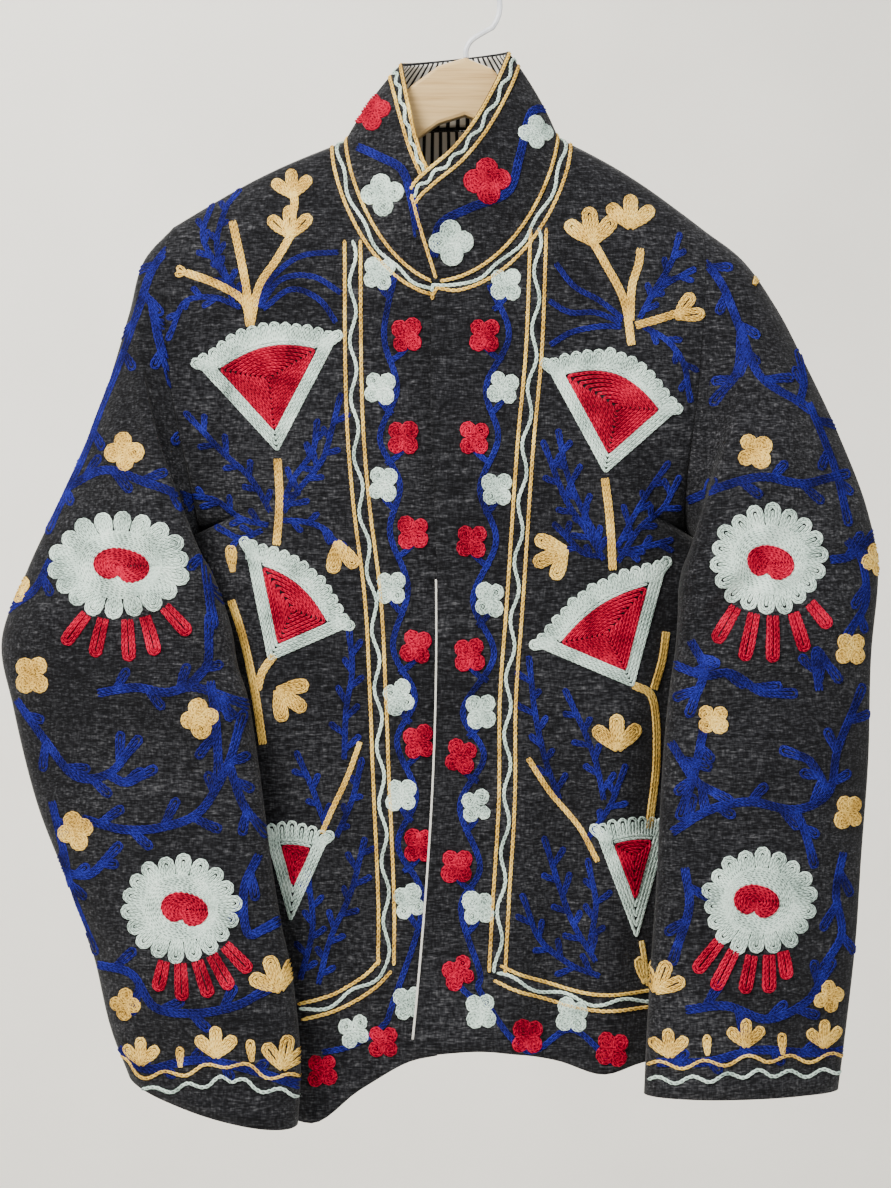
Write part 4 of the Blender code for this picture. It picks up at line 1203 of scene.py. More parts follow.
def deepest(outline):
    """The point of a shape farthest from its edge, and how far it is."""
    closed = even(np.vstack([outline, outline[:1]]), 2.0)
    low, high = outline.min(0), outline.max(0)
    x, z = np.meshgrid(*(np.linspace(a, b, 24)[1:-1] for a, b in zip(low, high)), indexing="ij")
    spots = np.stack([x.ravel(), z.ravel()], -1)
    a, b = closed[:-1], closed[1:]
    crossing = (a[None, :, 1] > spots[:, 1:]) != (b[None, :, 1] > spots[:, 1:])
    where = a[None, :, 0] + (spots[:, 1:] - a[None, :, 1]) / (b - a + 1e-9)[None, :, 1] * (b - a)[None, :, 0]
    inside = (crossing & (spots[:, :1] < where)).sum(-1) % 2 == 1
    away = np.linalg.norm(spots[:, None] - closed[None], axis=-1).min(-1) * inside
    return spots[away.argmax()], away.max()


def fill(colour, ground, outline, width=1.35):
    """A shape filled with rows that run round it, each inside the last."""
    outline = np.asarray(outline, float)
    centre, reach = deepest(outline)
    rows = max(1, int(round(reach / (0.94 * ROW))))
    for k in range(rows):
        ring = centre + (outline - centre) * (1 - (k + 0.5) / rows)
        sew(colour, ground, even(np.vstack([ring, ring[:1]])), width)


def disc(centre, across, tall=None, steps=28):
    angle = np.linspace(0, 2 * np.pi, steps, endpoint=False)
    return np.stack([centre[0] + across * np.cos(angle), centre[1] + (tall or across) * np.sin(angle)], -1)


SMALL_PETAL = np.array([[-1.4, -0.4], [-0.5, 0.4], [0.5, 0.4], [1.4, -0.4]])


def floret(colour, ground, centre, size=12.0, turn=0.0, tall=1.0):
    """Four round petals round one stitch."""
    stretch = np.array([1.0, tall])
    for k in range(4):
        angle = turn + math.pi / 2 * k + rng.normal(0, 0.09)
        petal_at = centre + stretch * size * 0.53 * np.array([math.cos(angle), math.sin(angle)])
        radius = size * 0.48 * (1 + rng.normal(0, 0.06)) - ROW / 2
        while radius > 0.2 * ROW:
            ring = disc(petal_at, radius, radius * (0.5 + 0.5 * tall), steps=14)
            sew(colour, ground, even(np.vstack([ring, ring[:2]])), 1.4)
            radius -= ROW * 0.85
        if radius > -0.5 * ROW:
            sew(colour, ground, petal_at + SMALL_PETAL, 1.3)
    for lift in (-0.9, 0.9):
        sew(colour, ground, centre + np.array([[k, lift + 0.2 * k] for k in (-2.4, -0.8, 0.8, 2.4)]), 1.4)


def bud(colour, ground, root, angle, size, petals=3):
    """Petals that open out of one root."""
    for k in range(petals):
        lean = math.radians(angle + (k - (petals - 1) / 2) * 44)
        reach = size * (1.0 if petals % 2 and k == petals // 2 else 0.92)
        tip = root + reach * np.array([math.cos(lean), math.sin(lean)])
        petal(colour, ground, root, tip, max(size * 0.42, 5.5), narrow=0.35)


def cup(ground, tip, left, right, bulge, scallops, frame=8.8, fringe=15.5):
    """A red cup in a pale frame whose upper edge is scalloped."""
    tip, left, right = (np.asarray(p, float) for p in (tip, left, right))
    chord = right - left
    up = np.array([-chord[1], chord[0]]) / np.linalg.norm(chord)
    if np.dot(up, tip - left) > 0:
        up = -up
    t = np.linspace(0, 1, 121)
    rim = left + chord * t[:, None] + up * (bulge * np.sin(np.pi * t))[:, None]
    middle = (left + right + tip) / 3
    depths, inner_ways = [], []
    for corner in (left, right):
        line = (corner - tip) / np.linalg.norm(corner - tip)
        square = np.array([-line[1], line[0]])
        if np.dot(square, middle - tip) < 0:
            square = -square
        inner_ways.append((line, square))
    lowered = rim - up * fringe
    depths = [((lowered - tip) * square).sum(-1) for _, square in inner_ways]
    kept = lowered[(depths[0] > frame) & (depths[1] > frame)]
    half = math.acos(np.clip(np.dot(inner_ways[0][0], inner_ways[1][0]), -1, 1)) / 2
    bisector = inner_ways[0][0] + inner_ways[1][0]
    low = tip + bisector / np.linalg.norm(bisector) * frame / math.sin(half)
    red = even(np.vstack([kept[::6], kept[-1:], low[None], kept[:1]]), 3.0)[:-1]
    fill("red", ground, red)
    rows = int(round(frame / ROW))
    for corner, (line, square) in zip((left, right), inner_ways):
        for k in range(rows):
            start = tip + square * (ROW * (k + 0.45))
            start = start + line * (ROW * (k + 0.45)) / math.tan(half)
            end = corner + square * (ROW * (k + 0.45)) - line * (2.0 * k)
            sew("mint", ground, even(np.vstack([start, end])), 1.3)
        ear = corner - (middle - corner) / np.linalg.norm(middle - corner) * 3.0
        petal("mint", ground, corner + (middle - corner) * 0.3, ear, 8.4, narrow=0.9)
    for k in range(2):
        sew("mint", ground, even(kept + up * ROW * (k + 0.5)), 1.3)
    steps = np.linalg.norm(np.diff(rim, axis=0), axis=-1)
    run = np.concatenate([[0], np.cumsum(steps)]) / steps.sum()
    wide = steps.sum() / (scallops + 0.6)
    for k in range(scallops):
        share = (k + 0.8) / (scallops + 0.6)
        top = np.array([np.interp(share, run, rim[:, j]) for j in (0, 1)])
        foot = np.array([np.interp(0.08 + 0.84 * share, t, lowered[:, j]) for j in (0, 1)])
        way = (foot - top) / np.linalg.norm(foot - top)
        root, tip = top + way * (fringe - 1.2 * ROW), top - way * rng.normal(1.8, 0.6)
        petal("mint", ground, root, tip, wide * 1.02, narrow=0.8)


def heart_outline(middle, across, tall, steps=44):
    """An oval with a bay in its lower edge."""
    angle = np.linspace(0, 2 * np.pi, steps, endpoint=False)
    reach = 1 + 0.13 * np.cos(2 * angle + 0.7) - 0.38 * np.exp(-(((angle - 4.5) / 0.3) ** 2))
    return middle + np.stack([across * reach * np.cos(angle), tall * reach * np.sin(angle)], -1)


def daisy(ground, centre, across, tall, petals, middle, fingers):
    """Pale petals round a red heart, with red fingers below."""
    size = np.array([across, tall])
    for root, end in fingers:
        t = np.linspace(0, 0.5, 26)[:, None]
        path = root + t * (end - root)
        outside = np.linalg.norm((path - centre) / size, axis=-1) > 1.0
        start = path[outside.argmax()] if outside.any() else root
        petal("red", ground, start, root + 1.12 * (end - root), 10.0, narrow=0.85)
    for k in range(petals):
        angle = 2 * math.pi * (k + 0.3) / petals
        way = np.array([math.cos(angle), math.sin(angle)]) * size
        wide = 2 * math.pi * 0.82 * math.hypot(across, tall) / math.sqrt(2) / petals
        tip = centre + way * (1 + rng.normal(0, 0.025))
        petal("mint", ground, centre + way * 0.56, tip, wide, narrow=0.62)
    heart = heart_outline(middle, 0.36 * across, 0.34 * tall)
    oval = disc(centre, 0.62 * across, 0.62 * tall, steps=len(heart))
    rings = int(math.ceil(np.linalg.norm(oval - heart, axis=-1).max() / (0.95 * ROW)))
    for k in range(rings):
        ring = mix(heart, oval, (k + 0.5) / rings)
        sew("mint", ground, even(np.vstack([ring, ring[:1]])), 1.4)
    rings = int(math.ceil(0.36 * across / (0.95 * ROW)))
    for k in range(rings):
        ring = middle + (heart - middle) * (k + 0.5) / rings
        sew("red", ground, even(np.vstack([ring, ring[:1]])), 1.4)


def vine(ground, places, leaf=15.0, every=17.0, rows=2, wide=5.2, first=1, lean=40, tip=True):
    """A blue stem with round-ended leaves on alternate sides."""
    path = curve(places)
    for k in range(rows):
        sew("blue", ground, even(beside(path, (k - (rows - 1) / 2) * VINE_ROWS)), 1.25)
    if leaf <= 0:
        return
    count = int(len(path) * PITCH / every)
    for k in range(count):
        here = int((k + 0.6) * every / PITCH)
        if here >= len(path) - 2:
            break
        way = path[min(here + 2, len(path) - 1)] - path[max(here - 2, 0)]
        heading = math.atan2(way[1], way[0])
        side = first * (1 if k % 2 else -1)
        turn = heading + side * math.radians(lean + rng.normal(0, 6))
        reach = leaf * (1 + rng.normal(0, 0.14))
        end = path[here] + reach * np.array([math.cos(turn), math.sin(turn)])
        petal("blue", ground, path[here], end, wide, narrow=0.6, bend=0.06 * side)
    if tip:
        way = path[-1] - path[-4]
        way /= np.linalg.norm(way) + 1e-9
        petal("blue", ground, path[-1] - way * 4, path[-1] + way * leaf * 0.7, wide * 1.05, narrow=0.8)


# The design of the embroidery. Places in its tables are pixels of the photo, and at() makes them millimetres.
WAVE_REACH = 2.3  # of the wave between the two chains of a border
BORDER_WAVE = 42.0  # from one crest to the next
BORDER_WIDTH = 11.5
CHAIN = 1.5  # half the width of a chain that stands alone
STEM = 1.3  # half the width of a chain in a winding stem
VINE_ROWS = 2.1  # between the rows of a stem
WINDING_ROWS = 2.2


def wavy(path, reach, period):
    run = np.arange(len(path)) * PITCH
    return even(beside(path, reach * np.sin(2 * np.pi * run / period)))


def border(ground, places):
    """Two pale brown chains with a wavy pale one between them."""
    path = curve(at(places))
    for side in (-1, 1):
        sew("tan", ground, even(beside(path, side * BORDER_WIDTH / 2)), CHAIN)
    sew("mint", ground, even(wavy(path, WAVE_REACH, BORDER_WAVE)), CHAIN)


# Florets down the front edges: where each lies, whether it is red, and how far the vine passes to its side.
PLACKET_FLORETS = {
    "left": table(
        "x y red aside",
        [
            (379, 272, 0, 16), (407, 335, 1, -23), (380, 388, 0, 17), (403, 438, 1, -23), (383, 484, 0, 17),
            (413, 532, 1, -23), (391, 588, 0, 17), (416, 647, 1, -23), (399, 697, 0, 16),
            (419, 742, 1, -22), (401, 796, 0, 15), (419, 846, 1, -21), (409, 903, 0, 14),
            (409, 1003, 0, -16), (383, 1042, 1, -16), (354, 1032, 0, 14), (322, 1070, 1, -18),
        ],
    ),
    "right": table(
        "x y red aside",
        [
            (506, 284, 0, -17), (485, 335, 1, 24), (503, 388, 0, -17), (474, 438, 1, 24),
            (497, 489, 0, -17), (472, 541, 1, 24), (490, 600, 0, -17), (470, 655, 1, 24),
            (481, 711, 0, -18), (461, 756, 1, 23), (477, 806, 0, -17), (457, 866, 1, 23),
            (478, 908, 0, -17), (459, 972, 1, 21), (481, 1010, 0, -18), (527, 1036, 1, 14),
            (572, 1016, 0, 14), (612, 1048, 1, 14),
        ],
    ),
}
HEM_TURN = 1000.0  # below this row of the photo the florets follow the hem
HEM_VINE = 1008.0  # and below this one the vine passes over or under them
FLORET = 12.4


def placket(ground, side):
    """Florets on alternate sides of a winding blue vine, down the front and along the hem."""
    rows = list(zip(*PLACKET_FLORETS[side].values()))
    way = []
    for x, y, _, aside in rows:
        way.append((x, y + aside) if y > HEM_VINE else (x + aside, y))
        if y < HEM_TURN:
            stem = [(x, y + 12), (x + 0.35 * aside, y + 20), (x + 0.75 * aside, y + 26)]
            band("blue", ground, at(stem), rows=2, spacing=VINE_ROWS)
    for row in (-0.5, 0.5):
        sew("blue", ground, even(beside(curve(at(way)), row * WINDING_ROWS)), STEM)
    for x, y, red, _ in rows:
        turn = math.pi / 4 + rng.normal(0, 0.14)
        floret("red" if red else "mint", ground, at([(x, y)])[0], FLORET, turn, 1.15)


CUPS = {
    "left": table(
        "left_x left_y right_x right_y tip_x tip_y bulge scallops",
        [
            (194, 362, 339, 334, 277, 452, 17, 13), (243, 540, 351, 626, 268, 662, 15, 12),
            (262, 830, 330, 836, 290, 925, 6, 6),
        ],
    ),
    "right": table(
        "left_x left_y right_x right_y tip_x tip_y bulge scallops",
        [
            (544, 362, 680, 408, 605, 474, 24, 13), (533, 645, 669, 560, 634, 688, 14, 13),
            (594, 828, 672, 824, 637, 942, 5, 7),
        ],
    ),
}
TAN_STEMS = {
    "left": [
        (3, [(277, 458), (279, 500), (276, 545)]), (3, [(249, 325), (243, 300), (215, 282), (184, 270)]),
        (3, [(250, 325), (245, 285), (238, 250), (230, 217)]),
        (3, [(250, 322), (258, 285), (275, 258), (290, 232)]), (3, [(290, 215), (293, 198), (291, 188)]),
        (2, [(360, 742), (347, 778), (331, 812), (321, 835)]),
        (3, [(230, 600), (243, 640), (254, 690), (262, 745)]), (3, [(274, 655), (262, 672), (257, 690)]),
    ],
    "right": [
        (3, [(605, 478), (610, 520), (613, 570)]), (3, [(632, 345), (625, 300), (606, 262), (594, 240)]),
        (3, [(631, 320), (633, 285), (640, 262), (642, 246)]), (3, [(636, 325), (660, 318), (690, 308)]),
        (2, [(528, 758), (550, 792), (580, 828), (598, 862)]),
        (3, [(634, 685), (654, 700), (658, 760), (650, 830)]), (3, [(655, 690), (664, 660), (668, 632)]),
        (2, [(642, 942), (645, 960), (646, 978)]),
    ],
}
TAN_BUDS = {
    "left": table(
        "x y angle size petals",
        [
            (184, 270, 170, 9, 2), (289, 234, 92, 24, 3), (291, 192, 95, 22, 3), (337, 541, 284, 26, 2),
            (232, 572, 95, 20, 1), (276, 690, -35, 26, 3),
        ],
    ),
    "right": table(
        "x y angle size petals",
        [
            (594, 242, 96, 28, 3), (632, 225, 88, 26, 3), (676, 316, 30, 24, 2), (566, 549, 205, 26, 3),
            (618, 750, 92, 26, 3), (646, 985, 60, 22, 3),
        ],
    ),
}
BLUE_VINES = {
    "left": [
        (0, [(255, 305), (272, 275), (300, 254), (338, 250)]),
        (0, [(258, 306), (280, 278), (312, 275), (341, 292)]),
        (0, [(262, 308), (290, 288), (318, 298), (336, 322)]),
        (9, [(243, 300), (215, 262), (200, 232), (206, 205)]),
        (9, [(240, 306), (212, 296), (184, 300), (170, 330)]),
        (8, [(232, 290), (215, 245), (222, 205), (232, 188)]),
        (11, [(283, 512), (298, 490), (322, 460), (332, 428), (338, 405)]),
        (10, [(282, 520), (306, 522), (326, 530), (336, 545)]),
        (10, [(282, 505), (292, 480), (312, 452), (316, 430)]),
        (11, [(270, 512), (250, 478), (222, 452), (192, 420)]),
        (10, [(268, 525), (240, 518), (215, 500), (190, 495)]),
        (9, [(262, 530), (240, 538), (222, 530)]),
        (11, [(344, 760), (346, 710), (352, 672), (350, 640)]),
        (10, [(326, 830), (312, 790), (300, 762)]),
        (11, [(318, 985), (330, 940), (350, 895), (362, 850)]),
        (10, [(300, 980), (312, 930), (308, 880)]),
        (9, [(336, 838), (352, 800), (360, 768)]),
    ],
    "right": [
        (0, [(624, 318), (600, 300), (574, 285), (556, 262)]),
        (0, [(622, 322), (596, 312), (570, 312), (549, 300)]),
        (0, [(622, 326), (600, 326), (572, 332), (550, 345)]),
        (9, [(640, 318), (655, 290), (672, 262), (680, 238)]),
        (9, [(644, 326), (668, 340), (684, 362), (690, 392)]), (8, [(648, 300), (668, 282), (690, 270)]),
        (11, [(604, 560), (586, 530), (566, 500), (547, 452)]),
        (10, [(603, 548), (580, 505), (566, 470), (560, 440)]),
        (11, [(618, 562), (640, 528), (664, 508), (676, 486)]),
        (10, [(617, 548), (632, 520), (650, 490), (664, 470)]), (9, [(600, 556), (582, 552), (560, 530)]),
        (10, [(618, 552), (640, 548), (664, 542)]), (11, [(560, 800), (545, 758), (535, 712), (530, 668)]),
        (11, [(604, 800), (596, 762), (584, 730), (570, 700)]), (11, [(586, 842), (610, 806), (622, 776)]),
        (12, [(596, 962), (574, 925), (560, 888), (548, 850)]),
        (11, [(600, 976), (570, 965), (540, 940), (526, 905)]), (10, [(590, 945), (596, 905), (590, 870)]),
    ],
}


def body_fields(ground, side, mirror_x=None):
    """Cups, stems, buds and blue sprays beside the border, turned over at mirror_x where that is given."""

    def spot(places):
        found = at(places)
        if mirror_x is not None:
            found[:, 0] = mirror_x - found[:, 0]
        return found

    for leaf, places in BLUE_VINES[side]:
        vine(ground, spot(places), leaf=leaf * 1.25, every=11.5, wide=4.8, rows=2, tip=leaf > 0)
    for rows, places in TAN_STEMS[side]:
        band("tan", ground, spot(places), rows=rows, spacing=1.9)
    for x, y, angle, size, petals in zip(*TAN_BUDS[side].values()):
        lean = angle if mirror_x is None else 180 - angle
        bud("tan", ground, spot([(x, y)])[0], lean, size, int(petals))
    for left_x, left_y, right_x, right_y, tip_x, tip_y, bulge, scallops in zip(*CUPS[side].values()):
        left, right, tip = spot([(left_x, left_y), (right_x, right_y), (tip_x, tip_y)])
        cup(ground, tip, left, right, bulge, int(scallops))


BORDERS = {
    "left": [
        [(352, 238), (354, 400), (361, 500), (373, 600), (378, 700), (381, 780), (386, 900), (386, 966)],
        [(386, 966), (368, 984), (338, 1002), (300, 1012)],
    ],
    "right": [
        [(539, 226), (534, 350), (525, 450), (515, 600), (508, 700), (507, 800), (501, 900), (497, 972)],
        [(497, 972), (530, 986), (590, 1002), (660, 1000)],
    ],
}

DAISIES = {
    "left": table(
        "x y across tall petals blob_x blob_y",
        [(121, 565, 52, 39, 18, 125, 566), (185, 902, 43, 38, 18, 190, 903)],
    ),
    "right": table(
        "x y across tall petals blob_x blob_y",
        [(766, 560, 44, 40, 18, 767, 563), (753, 895, 42, 38, 18, 750, 895)],
    ),
}
FINGERS = {
    "left": [
        [
            (96, 606, 70, 640), (108, 612, 99, 652), (130, 614, 133, 656), (146, 608, 158, 650),
            (162, 600, 190, 630),
        ],
        [
            (172, 945, 164, 980), (186, 950, 188, 988), (202, 950, 214, 984), (214, 942, 234, 976),
            (226, 934, 252, 960),
        ],
    ],
    "right": [
        [
            (736, 602, 714, 638), (752, 606, 740, 654), (768, 608, 768, 656), (786, 604, 800, 646),
            (800, 596, 824, 624),
        ],
        [
            (716, 930, 692, 960), (730, 938, 710, 976), (746, 942, 738, 980), (762, 940, 762, 980),
            (774, 932, 780, 968),
        ],
    ],
}
SLEEVE_FLORETS = {
    "left": table(
        "x y size turn",
        [
            (125, 452, 15, 0.1), (34, 675, 15, 0.8), (204, 716, 14, 0.2), (79, 829, 14, 0.3),
            (129, 999, 12, 0.0), (12, 588, 12, 0.4),
        ],
    ),
    "right": table(
        "x y size turn",
        [
            (752, 452, 14, 0.7), (849, 649, 13, 0.7), (709, 717, 12, 0.8), (846, 811, 13, 0.7),
            (824, 992, 12, 0.2), (878, 560, 12, 0.2),
        ],
    ),
}
SLEEVE_BUDS = {
    "left": table(
        "x y angle size petals",
        [
            (284, 982, 110, 26, 3), (146, 1058, 92, 20, 3), (186, 1058, 92, 15, 1), (222, 1046, 92, 22, 3),
            (257, 1050, 96, 16, 1), (286, 1058, 80, 24, 3), (188, 436, 80, 12, 1),
        ],
    ),
    "right": table(
        "x y angle size petals",
        [
            (652, 984, 70, 24, 3), (665, 1046, 95, 20, 3), (701, 1044, 92, 15, 1), (739, 1036, 90, 20, 3),
            (776, 1046, 92, 16, 1), (820, 1042, 90, 20, 3), (757, 282, 60, 14, 1),
        ],
    ),
}
SLEEVE_VINES = {
    "left": [
        (12, [(186, 222), (152, 262), (136, 310), (118, 360), (96, 412)]),
        (11, [(150, 300), (158, 340), (168, 372)]),
        (12, [(66, 486), (106, 470), (150, 484), (196, 500)]),
        (11, [(170, 378), (186, 440), (198, 500), (206, 560), (214, 612)]),
        (10, [(96, 412), (84, 448), (66, 486), (50, 520)]),
        (12, [(50, 560), (34, 590), (10, 606)]),
        (12, [(102, 692), (140, 686), (176, 690), (208, 668), (212, 630)]),
        (11, [(176, 690), (200, 686), (240, 700)]),
        (12, [(16, 700), (46, 738), (78, 774), (112, 772), (134, 748)]),
        (10, [(112, 772), (130, 780), (148, 772)]),
        (12, [(86, 816), (130, 826), (172, 822), (206, 806), (232, 760), (242, 726)]),
        (10, [(232, 760), (246, 800), (262, 822)]),
        (12, [(54, 800), (66, 850), (74, 892), (92, 936)]),
        (10, [(60, 870), (92, 872), (116, 850)]),
        (12, [(214, 680), (220, 720), (222, 760)]),
        (11, [(262, 850), (248, 884), (252, 926), (272, 920)]),
        (12, [(100, 962), (136, 968), (160, 1000), (200, 1004), (240, 996), (262, 985)]),
        (8, [(122, 1044), (150, 1062), (200, 1050), (250, 1056), (300, 1074)]),
    ],
    "right": [
        (12, [(700, 250), (724, 282), (742, 330), (760, 376), (800, 402)]),
        (11, [(742, 330), (738, 370), (722, 392)]),
        (11, [(800, 402), (806, 382), (804, 362)]),
        (12, [(690, 500), (724, 486), (760, 478), (800, 484), (836, 476)]),
        (11, [(810, 402), (826, 440), (838, 474), (846, 510)]),
        (12, [(846, 540), (862, 560), (866, 600), (850, 628)]),
        (11, [(828, 560), (850, 556), (870, 540)]),
        (12, [(672, 664), (700, 674), (726, 672), (756, 690), (776, 692)]),
        (11, [(688, 640), (700, 668), (690, 700)]),
        (12, [(816, 690), (812, 650), (828, 668)]),
        (12, [(668, 740), (690, 776), (712, 790)]),
        (12, [(668, 828), (704, 806), (744, 798), (790, 806), (824, 790), (834, 748), (856, 700)]),
        (11, [(700, 726), (690, 770), (680, 800)]),
        (10, [(790, 806), (800, 830), (806, 850)]),
        (11, [(824, 790), (806, 760), (790, 752)]),
        (12, [(680, 862), (684, 900), (672, 940)]),
        (12, [(840, 850), (832, 890), (838, 930), (820, 960)]),
        (12, [(680, 1000), (720, 996), (760, 1010), (800, 996), (820, 970)]),
        (8, [(652, 1052), (700, 1050), (750, 1040), (800, 1046), (838, 1048)]),
    ],
}
CUFFS = {
    "left": [(120, 1052), (150, 1068), (200, 1060), (236, 1052), (270, 1062), (308, 1070)],
    "right": [(644, 1055), (700, 1052), (750, 1048), (800, 1052), (842, 1052)],
}


def sleeve_field(ground, side):
    """The daisies, florets, buds, vines and cuff lines of a sleeve."""
    for leaf, places in SLEEVE_VINES[side]:
        vine(ground, at(places), leaf=leaf * 1.6, every=23.0, wide=7.4, rows=3, first=-1)
    cuff = curve(at(CUFFS[side]))
    sew("tan", ground, even(wavy(cuff, 2.6, 31.0)), CHAIN)
    sew("mint", ground, even(wavy(beside(cuff, -10.5), WAVE_REACH, 24.0)), CHAIN)
    for x, y, size, turn in zip(*SLEEVE_FLORETS[side].values()):
        floret("tan", ground, at([(x, y)])[0], size, turn)
    for x, y, angle, size, petals in zip(*SLEEVE_BUDS[side].values()):
        bud("tan", ground, at([(x, y)])[0], angle, size, int(petals))
    flowers = zip(*DAISIES[side].values())
    for (x, y, across, tall, petals, blob_x, blob_y), below in zip(flowers, FINGERS[side]):
        fingers = [at([(a, b), (c, d)]) for a, b, c, d in below]
        daisy(ground, at([(x, y)])[0], across, tall, int(petals), at([(blob_x, blob_y)])[0], fingers)


# How far the lines lie below the collar's top edge, and how far they wave.
COLLAR_LINES = (("tan", 1.6, 0.0), ("mint", 7.0, 1.5), ("tan", 12.4, 0.0))
COLLAR_VINES = (
    [(562, 100), (534, 104), (521, 150), (508, 190), (470, 208), (440, 226), (434, 258)],
    [(356, 140), (378, 152), (402, 168), (412, 200), (418, 236)],
)
COLLAR_FLORETS = (
    ("red", 370, 104, 15), ("mint", 382, 192, 16), ("red", 488, 180, 17), ("mint", 451, 243, 16),
    ("mint", 537, 126, 13),
)


def collar_design(ground):
    """Chains and a wave along the collar's top edge, one chain at its end and its seam, vines and florets."""
    c = np.linspace(0.045, 2.955, 700)
    base, top = collar_edges(c)
    tall = np.linalg.norm(top - base, axis=-1)
    for colour, down, reach in COLLAR_LINES:
        wave = reach * np.sin(np.arange(len(c)) * 0.19)
        sew_surface(colour, "collar", collar_surface, 1 - (down + wave) / tall, c, collar_middle)
    sew_surface("tan", "collar", collar_surface, 2.0 / tall, c, collar_middle)
    h = np.linspace(0.06, 0.94, 60)
    sew_surface("tan", "collar", collar_surface, h, np.full(60, 0.03), collar_middle)
    for places in COLLAR_VINES:
        vine(ground, at(places), leaf=0, rows=3)
    for colour, x, y, size in COLLAR_FLORETS:
        floret(colour, ground, at([(x, y)])[0], size, turn=0.08)


NECK_LINES = (("mint", 5.0, 1.5), ("tan", 10.4, 0.0))  # how far below the seam, and their waves
PANEL_LENGTH = 620.0  # of a panel along its middle, for a distance as a share of it


def neck_lines():
    """A wave and a chain that run round the neck seam on the panels."""
    for colour, away, reach in NECK_LINES:
        for side in ("left", "right"):
            t = np.linspace(0.0, 1.0, 220)
            v = t * (V_NECK + away / PANEL_LENGTH)
            wide = np.linalg.norm(outer_edge(side, v, False) - inner_edge(side, v), axis=-1)
            wave = reach * np.sin(t * 26)
            s = (away + wave) / wide * (1 - smooth(0.88, 1.0, t)) + 0.001
            sew_surface(colour, "front_" + side, creased_front(side), v, s, body_middle)
        u = np.linspace(SHOULDER_PART - 0.012, 1 - SHOULDER_PART + 0.012, 260)
        fade = smooth(0, 0.02, np.minimum(u - u[0], u[-1] - u))
        v = (away + reach * np.sin(u * 100)) / PANEL_LENGTH * fade + 0.0005
        sew_surface(colour, "back", creased_back, v, u, body_middle)


BACK_COLUMN = -73.0  # half way between the left field's middle and the back's
BACK_BORDER = [
    (168, 1066), (252, 1048), (330, 1028), (400, 1012), (480, 1002), (560, 998), (640, 1002), (736, 1014),
]


def back_hem(ground):
    """The border along the back's hem, with florets and a vine below it."""
    border(ground, BACK_BORDER)
    low = curve(at(BACK_BORDER)) + np.array([0.0, -30.0])
    winding = wavy(low, 7.0, 66.0)
    sew("blue", ground, winding, STEM)
    sew("blue", ground, even(beside(winding, WINDING_ROWS)), STEM)
    for k, spot in enumerate(low[10 :: int(33.0 / PITCH)]):
        red = k % 2
        spot = spot + np.array([0.0, 3.0 if red else -3.0])
        floret("red" if red else "mint", ground, spot, FLORET, math.pi / 4)


SIDE_NAMES = ("left", "right")


def make_cloth():
    """Every piece of cloth by its node, and a tree of each one that carries stitches, by region."""
    cloth = slub_cloth()
    pieces, trees = {}, {}
    for side in SIDE_NAMES:
        pieces["front_panel_" + side], trees["front_" + side] = make_front(side, cloth)
    pieces["back_panel"], trees["back"] = make_back(cloth)
    for side in SIDE_NAMES:
        pieces["sleeve_" + side], trees["sleeve_" + side] = make_sleeve(side, cloth)
    pieces["collar"], trees["collar"] = make_collar(cloth)
    stripes = striped_lining()
    pieces["collar_lining"] = make_lining(stripes)
    pieces["back_neck_lining"] = make_neck_lining(stripes)
    pieces["front_facing"] = make_facing(plain_facing())
    for node, obj in pieces.items():
        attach(obj, "root")
        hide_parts(node)
    return pieces, trees


def embroider(trees):
    for side in SIDE_NAMES:
        front = Ground("front_" + side, trees["front_" + side])
        for places in BORDERS[side]:
            border(front, places)
        placket(front, side)
        body_fields(front, side)
        sleeve_field(Ground("sleeve_" + side, trees["sleeve_" + side]), side)
        sleeve_field(Ground("sleeve_" + side + "_rear", trees["sleeve_" + side], way=-1), side)
    collar_design(Ground("collar", trees["collar"], limit=0.0))
    neck_lines()
    back = Ground("back", trees["back"], way=-1)
    for side in SIDE_NAMES:
        body_fields(back, side)
    body_fields(back, "left", mirror_x=2 * BACK_COLUMN)
    back_hem(back)


def main():
    looks = {
        "blue": yarn("blue_wool", (0.006, 0.006, 0.06), (0.012, 0.0125, 0.17), (0.026, 0.032, 0.34)),
        "mint": yarn("mint_wool", (0.4, 0.53, 0.47), (0.68, 0.84, 0.75), (0.84, 0.95, 0.88)),
        "red": yarn("red_wool", (0.2, 0.0005, 0.012), (0.52, 0.001, 0.034), (0.74, 0.004, 0.06)),
        "tan": yarn("tan_wool", (0.56, 0.32, 0.06), (0.9, 0.59, 0.13), (0.99, 0.77, 0.28)),
    }
    pieces, trees = make_cloth()
    embroider(trees)
    finish_stitches(looks)
    for name, look in (("hanger_board", pale_wood()), ("hanger_hook", white_wire())):
        materials = bpy.data.objects[name].data.materials
        materials.clear()
        materials.append(look)
    stage_and_light()


def plane(name, corners, look):
    add_mesh(name, corners, [(0, 1, 2, 3)], look)


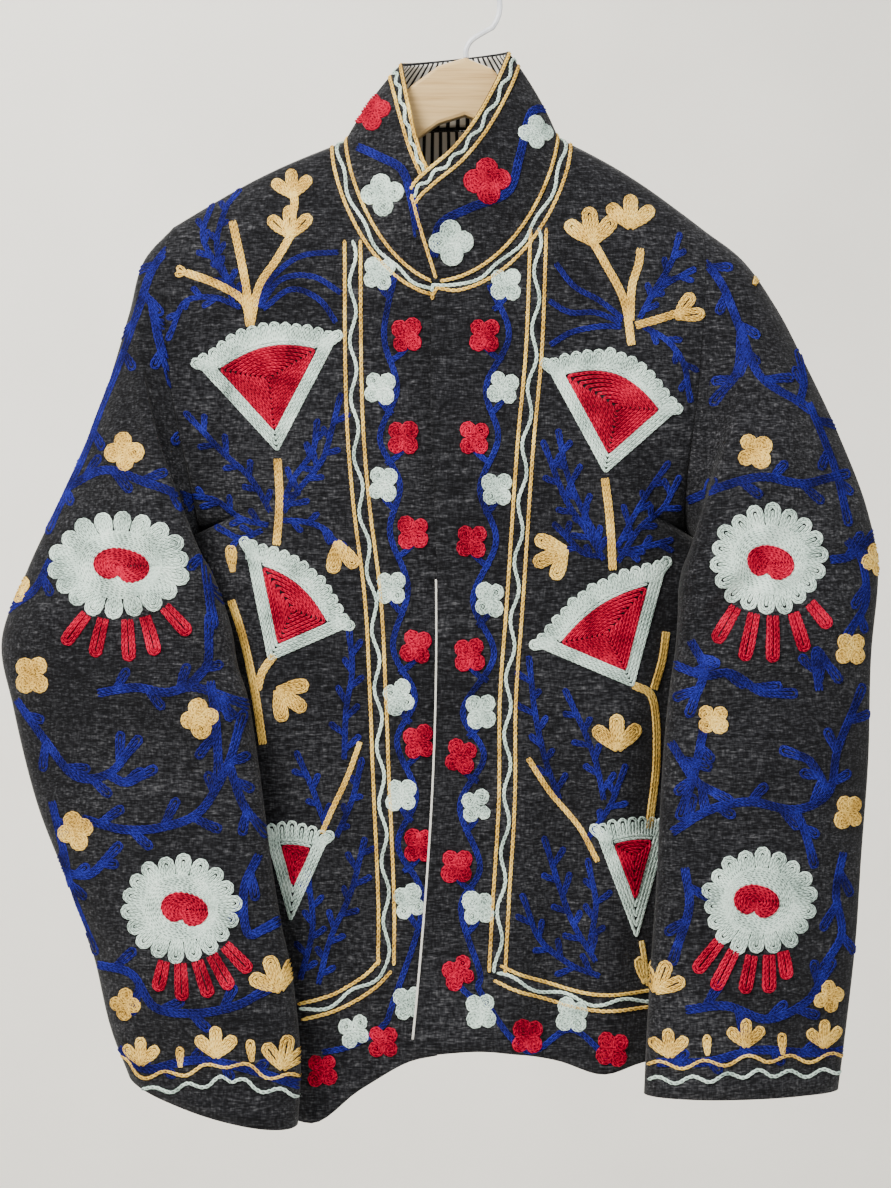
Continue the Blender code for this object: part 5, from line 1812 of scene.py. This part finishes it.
STAGE_WIDE = 5000.0
STAGE_DEEP = 3400.0  # the backdrop stands clear of a camera that looks at the back
STAGE_FLOOR = -1650.0
CHEST = (0.0, 0.0, -0.45)
LIGHTS = (
    # name, place, size, power, colour, target
    ("key", (-1.1, -1.9, 1.1), 0.9, 120, (1.0, 0.97, 0.92), CHEST),
    ("fill", (1.7, -1.8, 0.2), 1.6, 22, (0.94, 0.97, 1.0), CHEST),
    ("rim", (0.3, 1.6, 1.6), 1.5, 30, (1.0, 1.0, 1.0), CHEST),
    ("back", (-0.6, 2.6, 0.1), 1.5, 40, (1.0, 1.0, 1.0), CHEST),
    ("wall", (-1.7, 0.9, 1.9), 1.6, 150, (1.0, 0.98, 0.93), (-1.2, 3.4, 0.5)),
)
SKY = (1.0, 0.99, 0.96, 1)
SKY_STRENGTH = 0.65
# The camera looks straight ahead, so that its picture covers what the photo covers.
CAMERA_PLACE = (-0.014, -2.45, -0.4566)
LENS = 67.3
SENSOR_HEIGHT = 24


def add_object(name, data):
    obj = bpy.data.objects.new(name, data)
    bpy.context.scene.collection.objects.link(obj)
    return obj


def stage_and_light():
    pale = stage_paint("pale_plaster", (0.86, 0.84, 0.79), (0.92, 0.9, 0.85))
    wide, near, far = STAGE_WIDE, -STAGE_DEEP, STAGE_DEEP
    low, high = STAGE_FLOOR, STAGE_FLOOR + 2 * STAGE_WIDE
    plane("floor", [(-wide, near, low), (wide, near, low), (wide, far, low), (-wide, far, low)], pale)
    plane("backdrop", [(-wide, far, low), (wide, far, low), (wide, far, high), (-wide, far, high)], pale)
    world = bpy.data.worlds.new("studio")
    world.use_nodes = True
    background = world.node_tree.nodes["Background"]
    background.inputs["Color"].default_value = SKY
    background.inputs["Strength"].default_value = SKY_STRENGTH
    bpy.context.scene.world = world
    for name, place, size, power, colour, target in LIGHTS:
        data = bpy.data.lights.new(name, "AREA")
        data.size = size
        data.energy = power
        data.color = colour
        lamp = add_object(name, data)
        lamp.location = place
        aim(lamp, target)
    data = bpy.data.cameras.new("camera")
    data.sensor_fit = "VERTICAL"
    data.sensor_height = SENSOR_HEIGHT
    data.lens = LENS
    camera = add_object("camera", data)
    camera.location = CAMERA_PLACE
    camera.rotation_euler = (math.pi / 2, 0, 0)
    bpy.context.scene.camera = camera


def aim(obj, target):
    obj.rotation_euler = (Vector(target) - obj.location).to_track_quat("-Z", "Y").to_euler()


main()
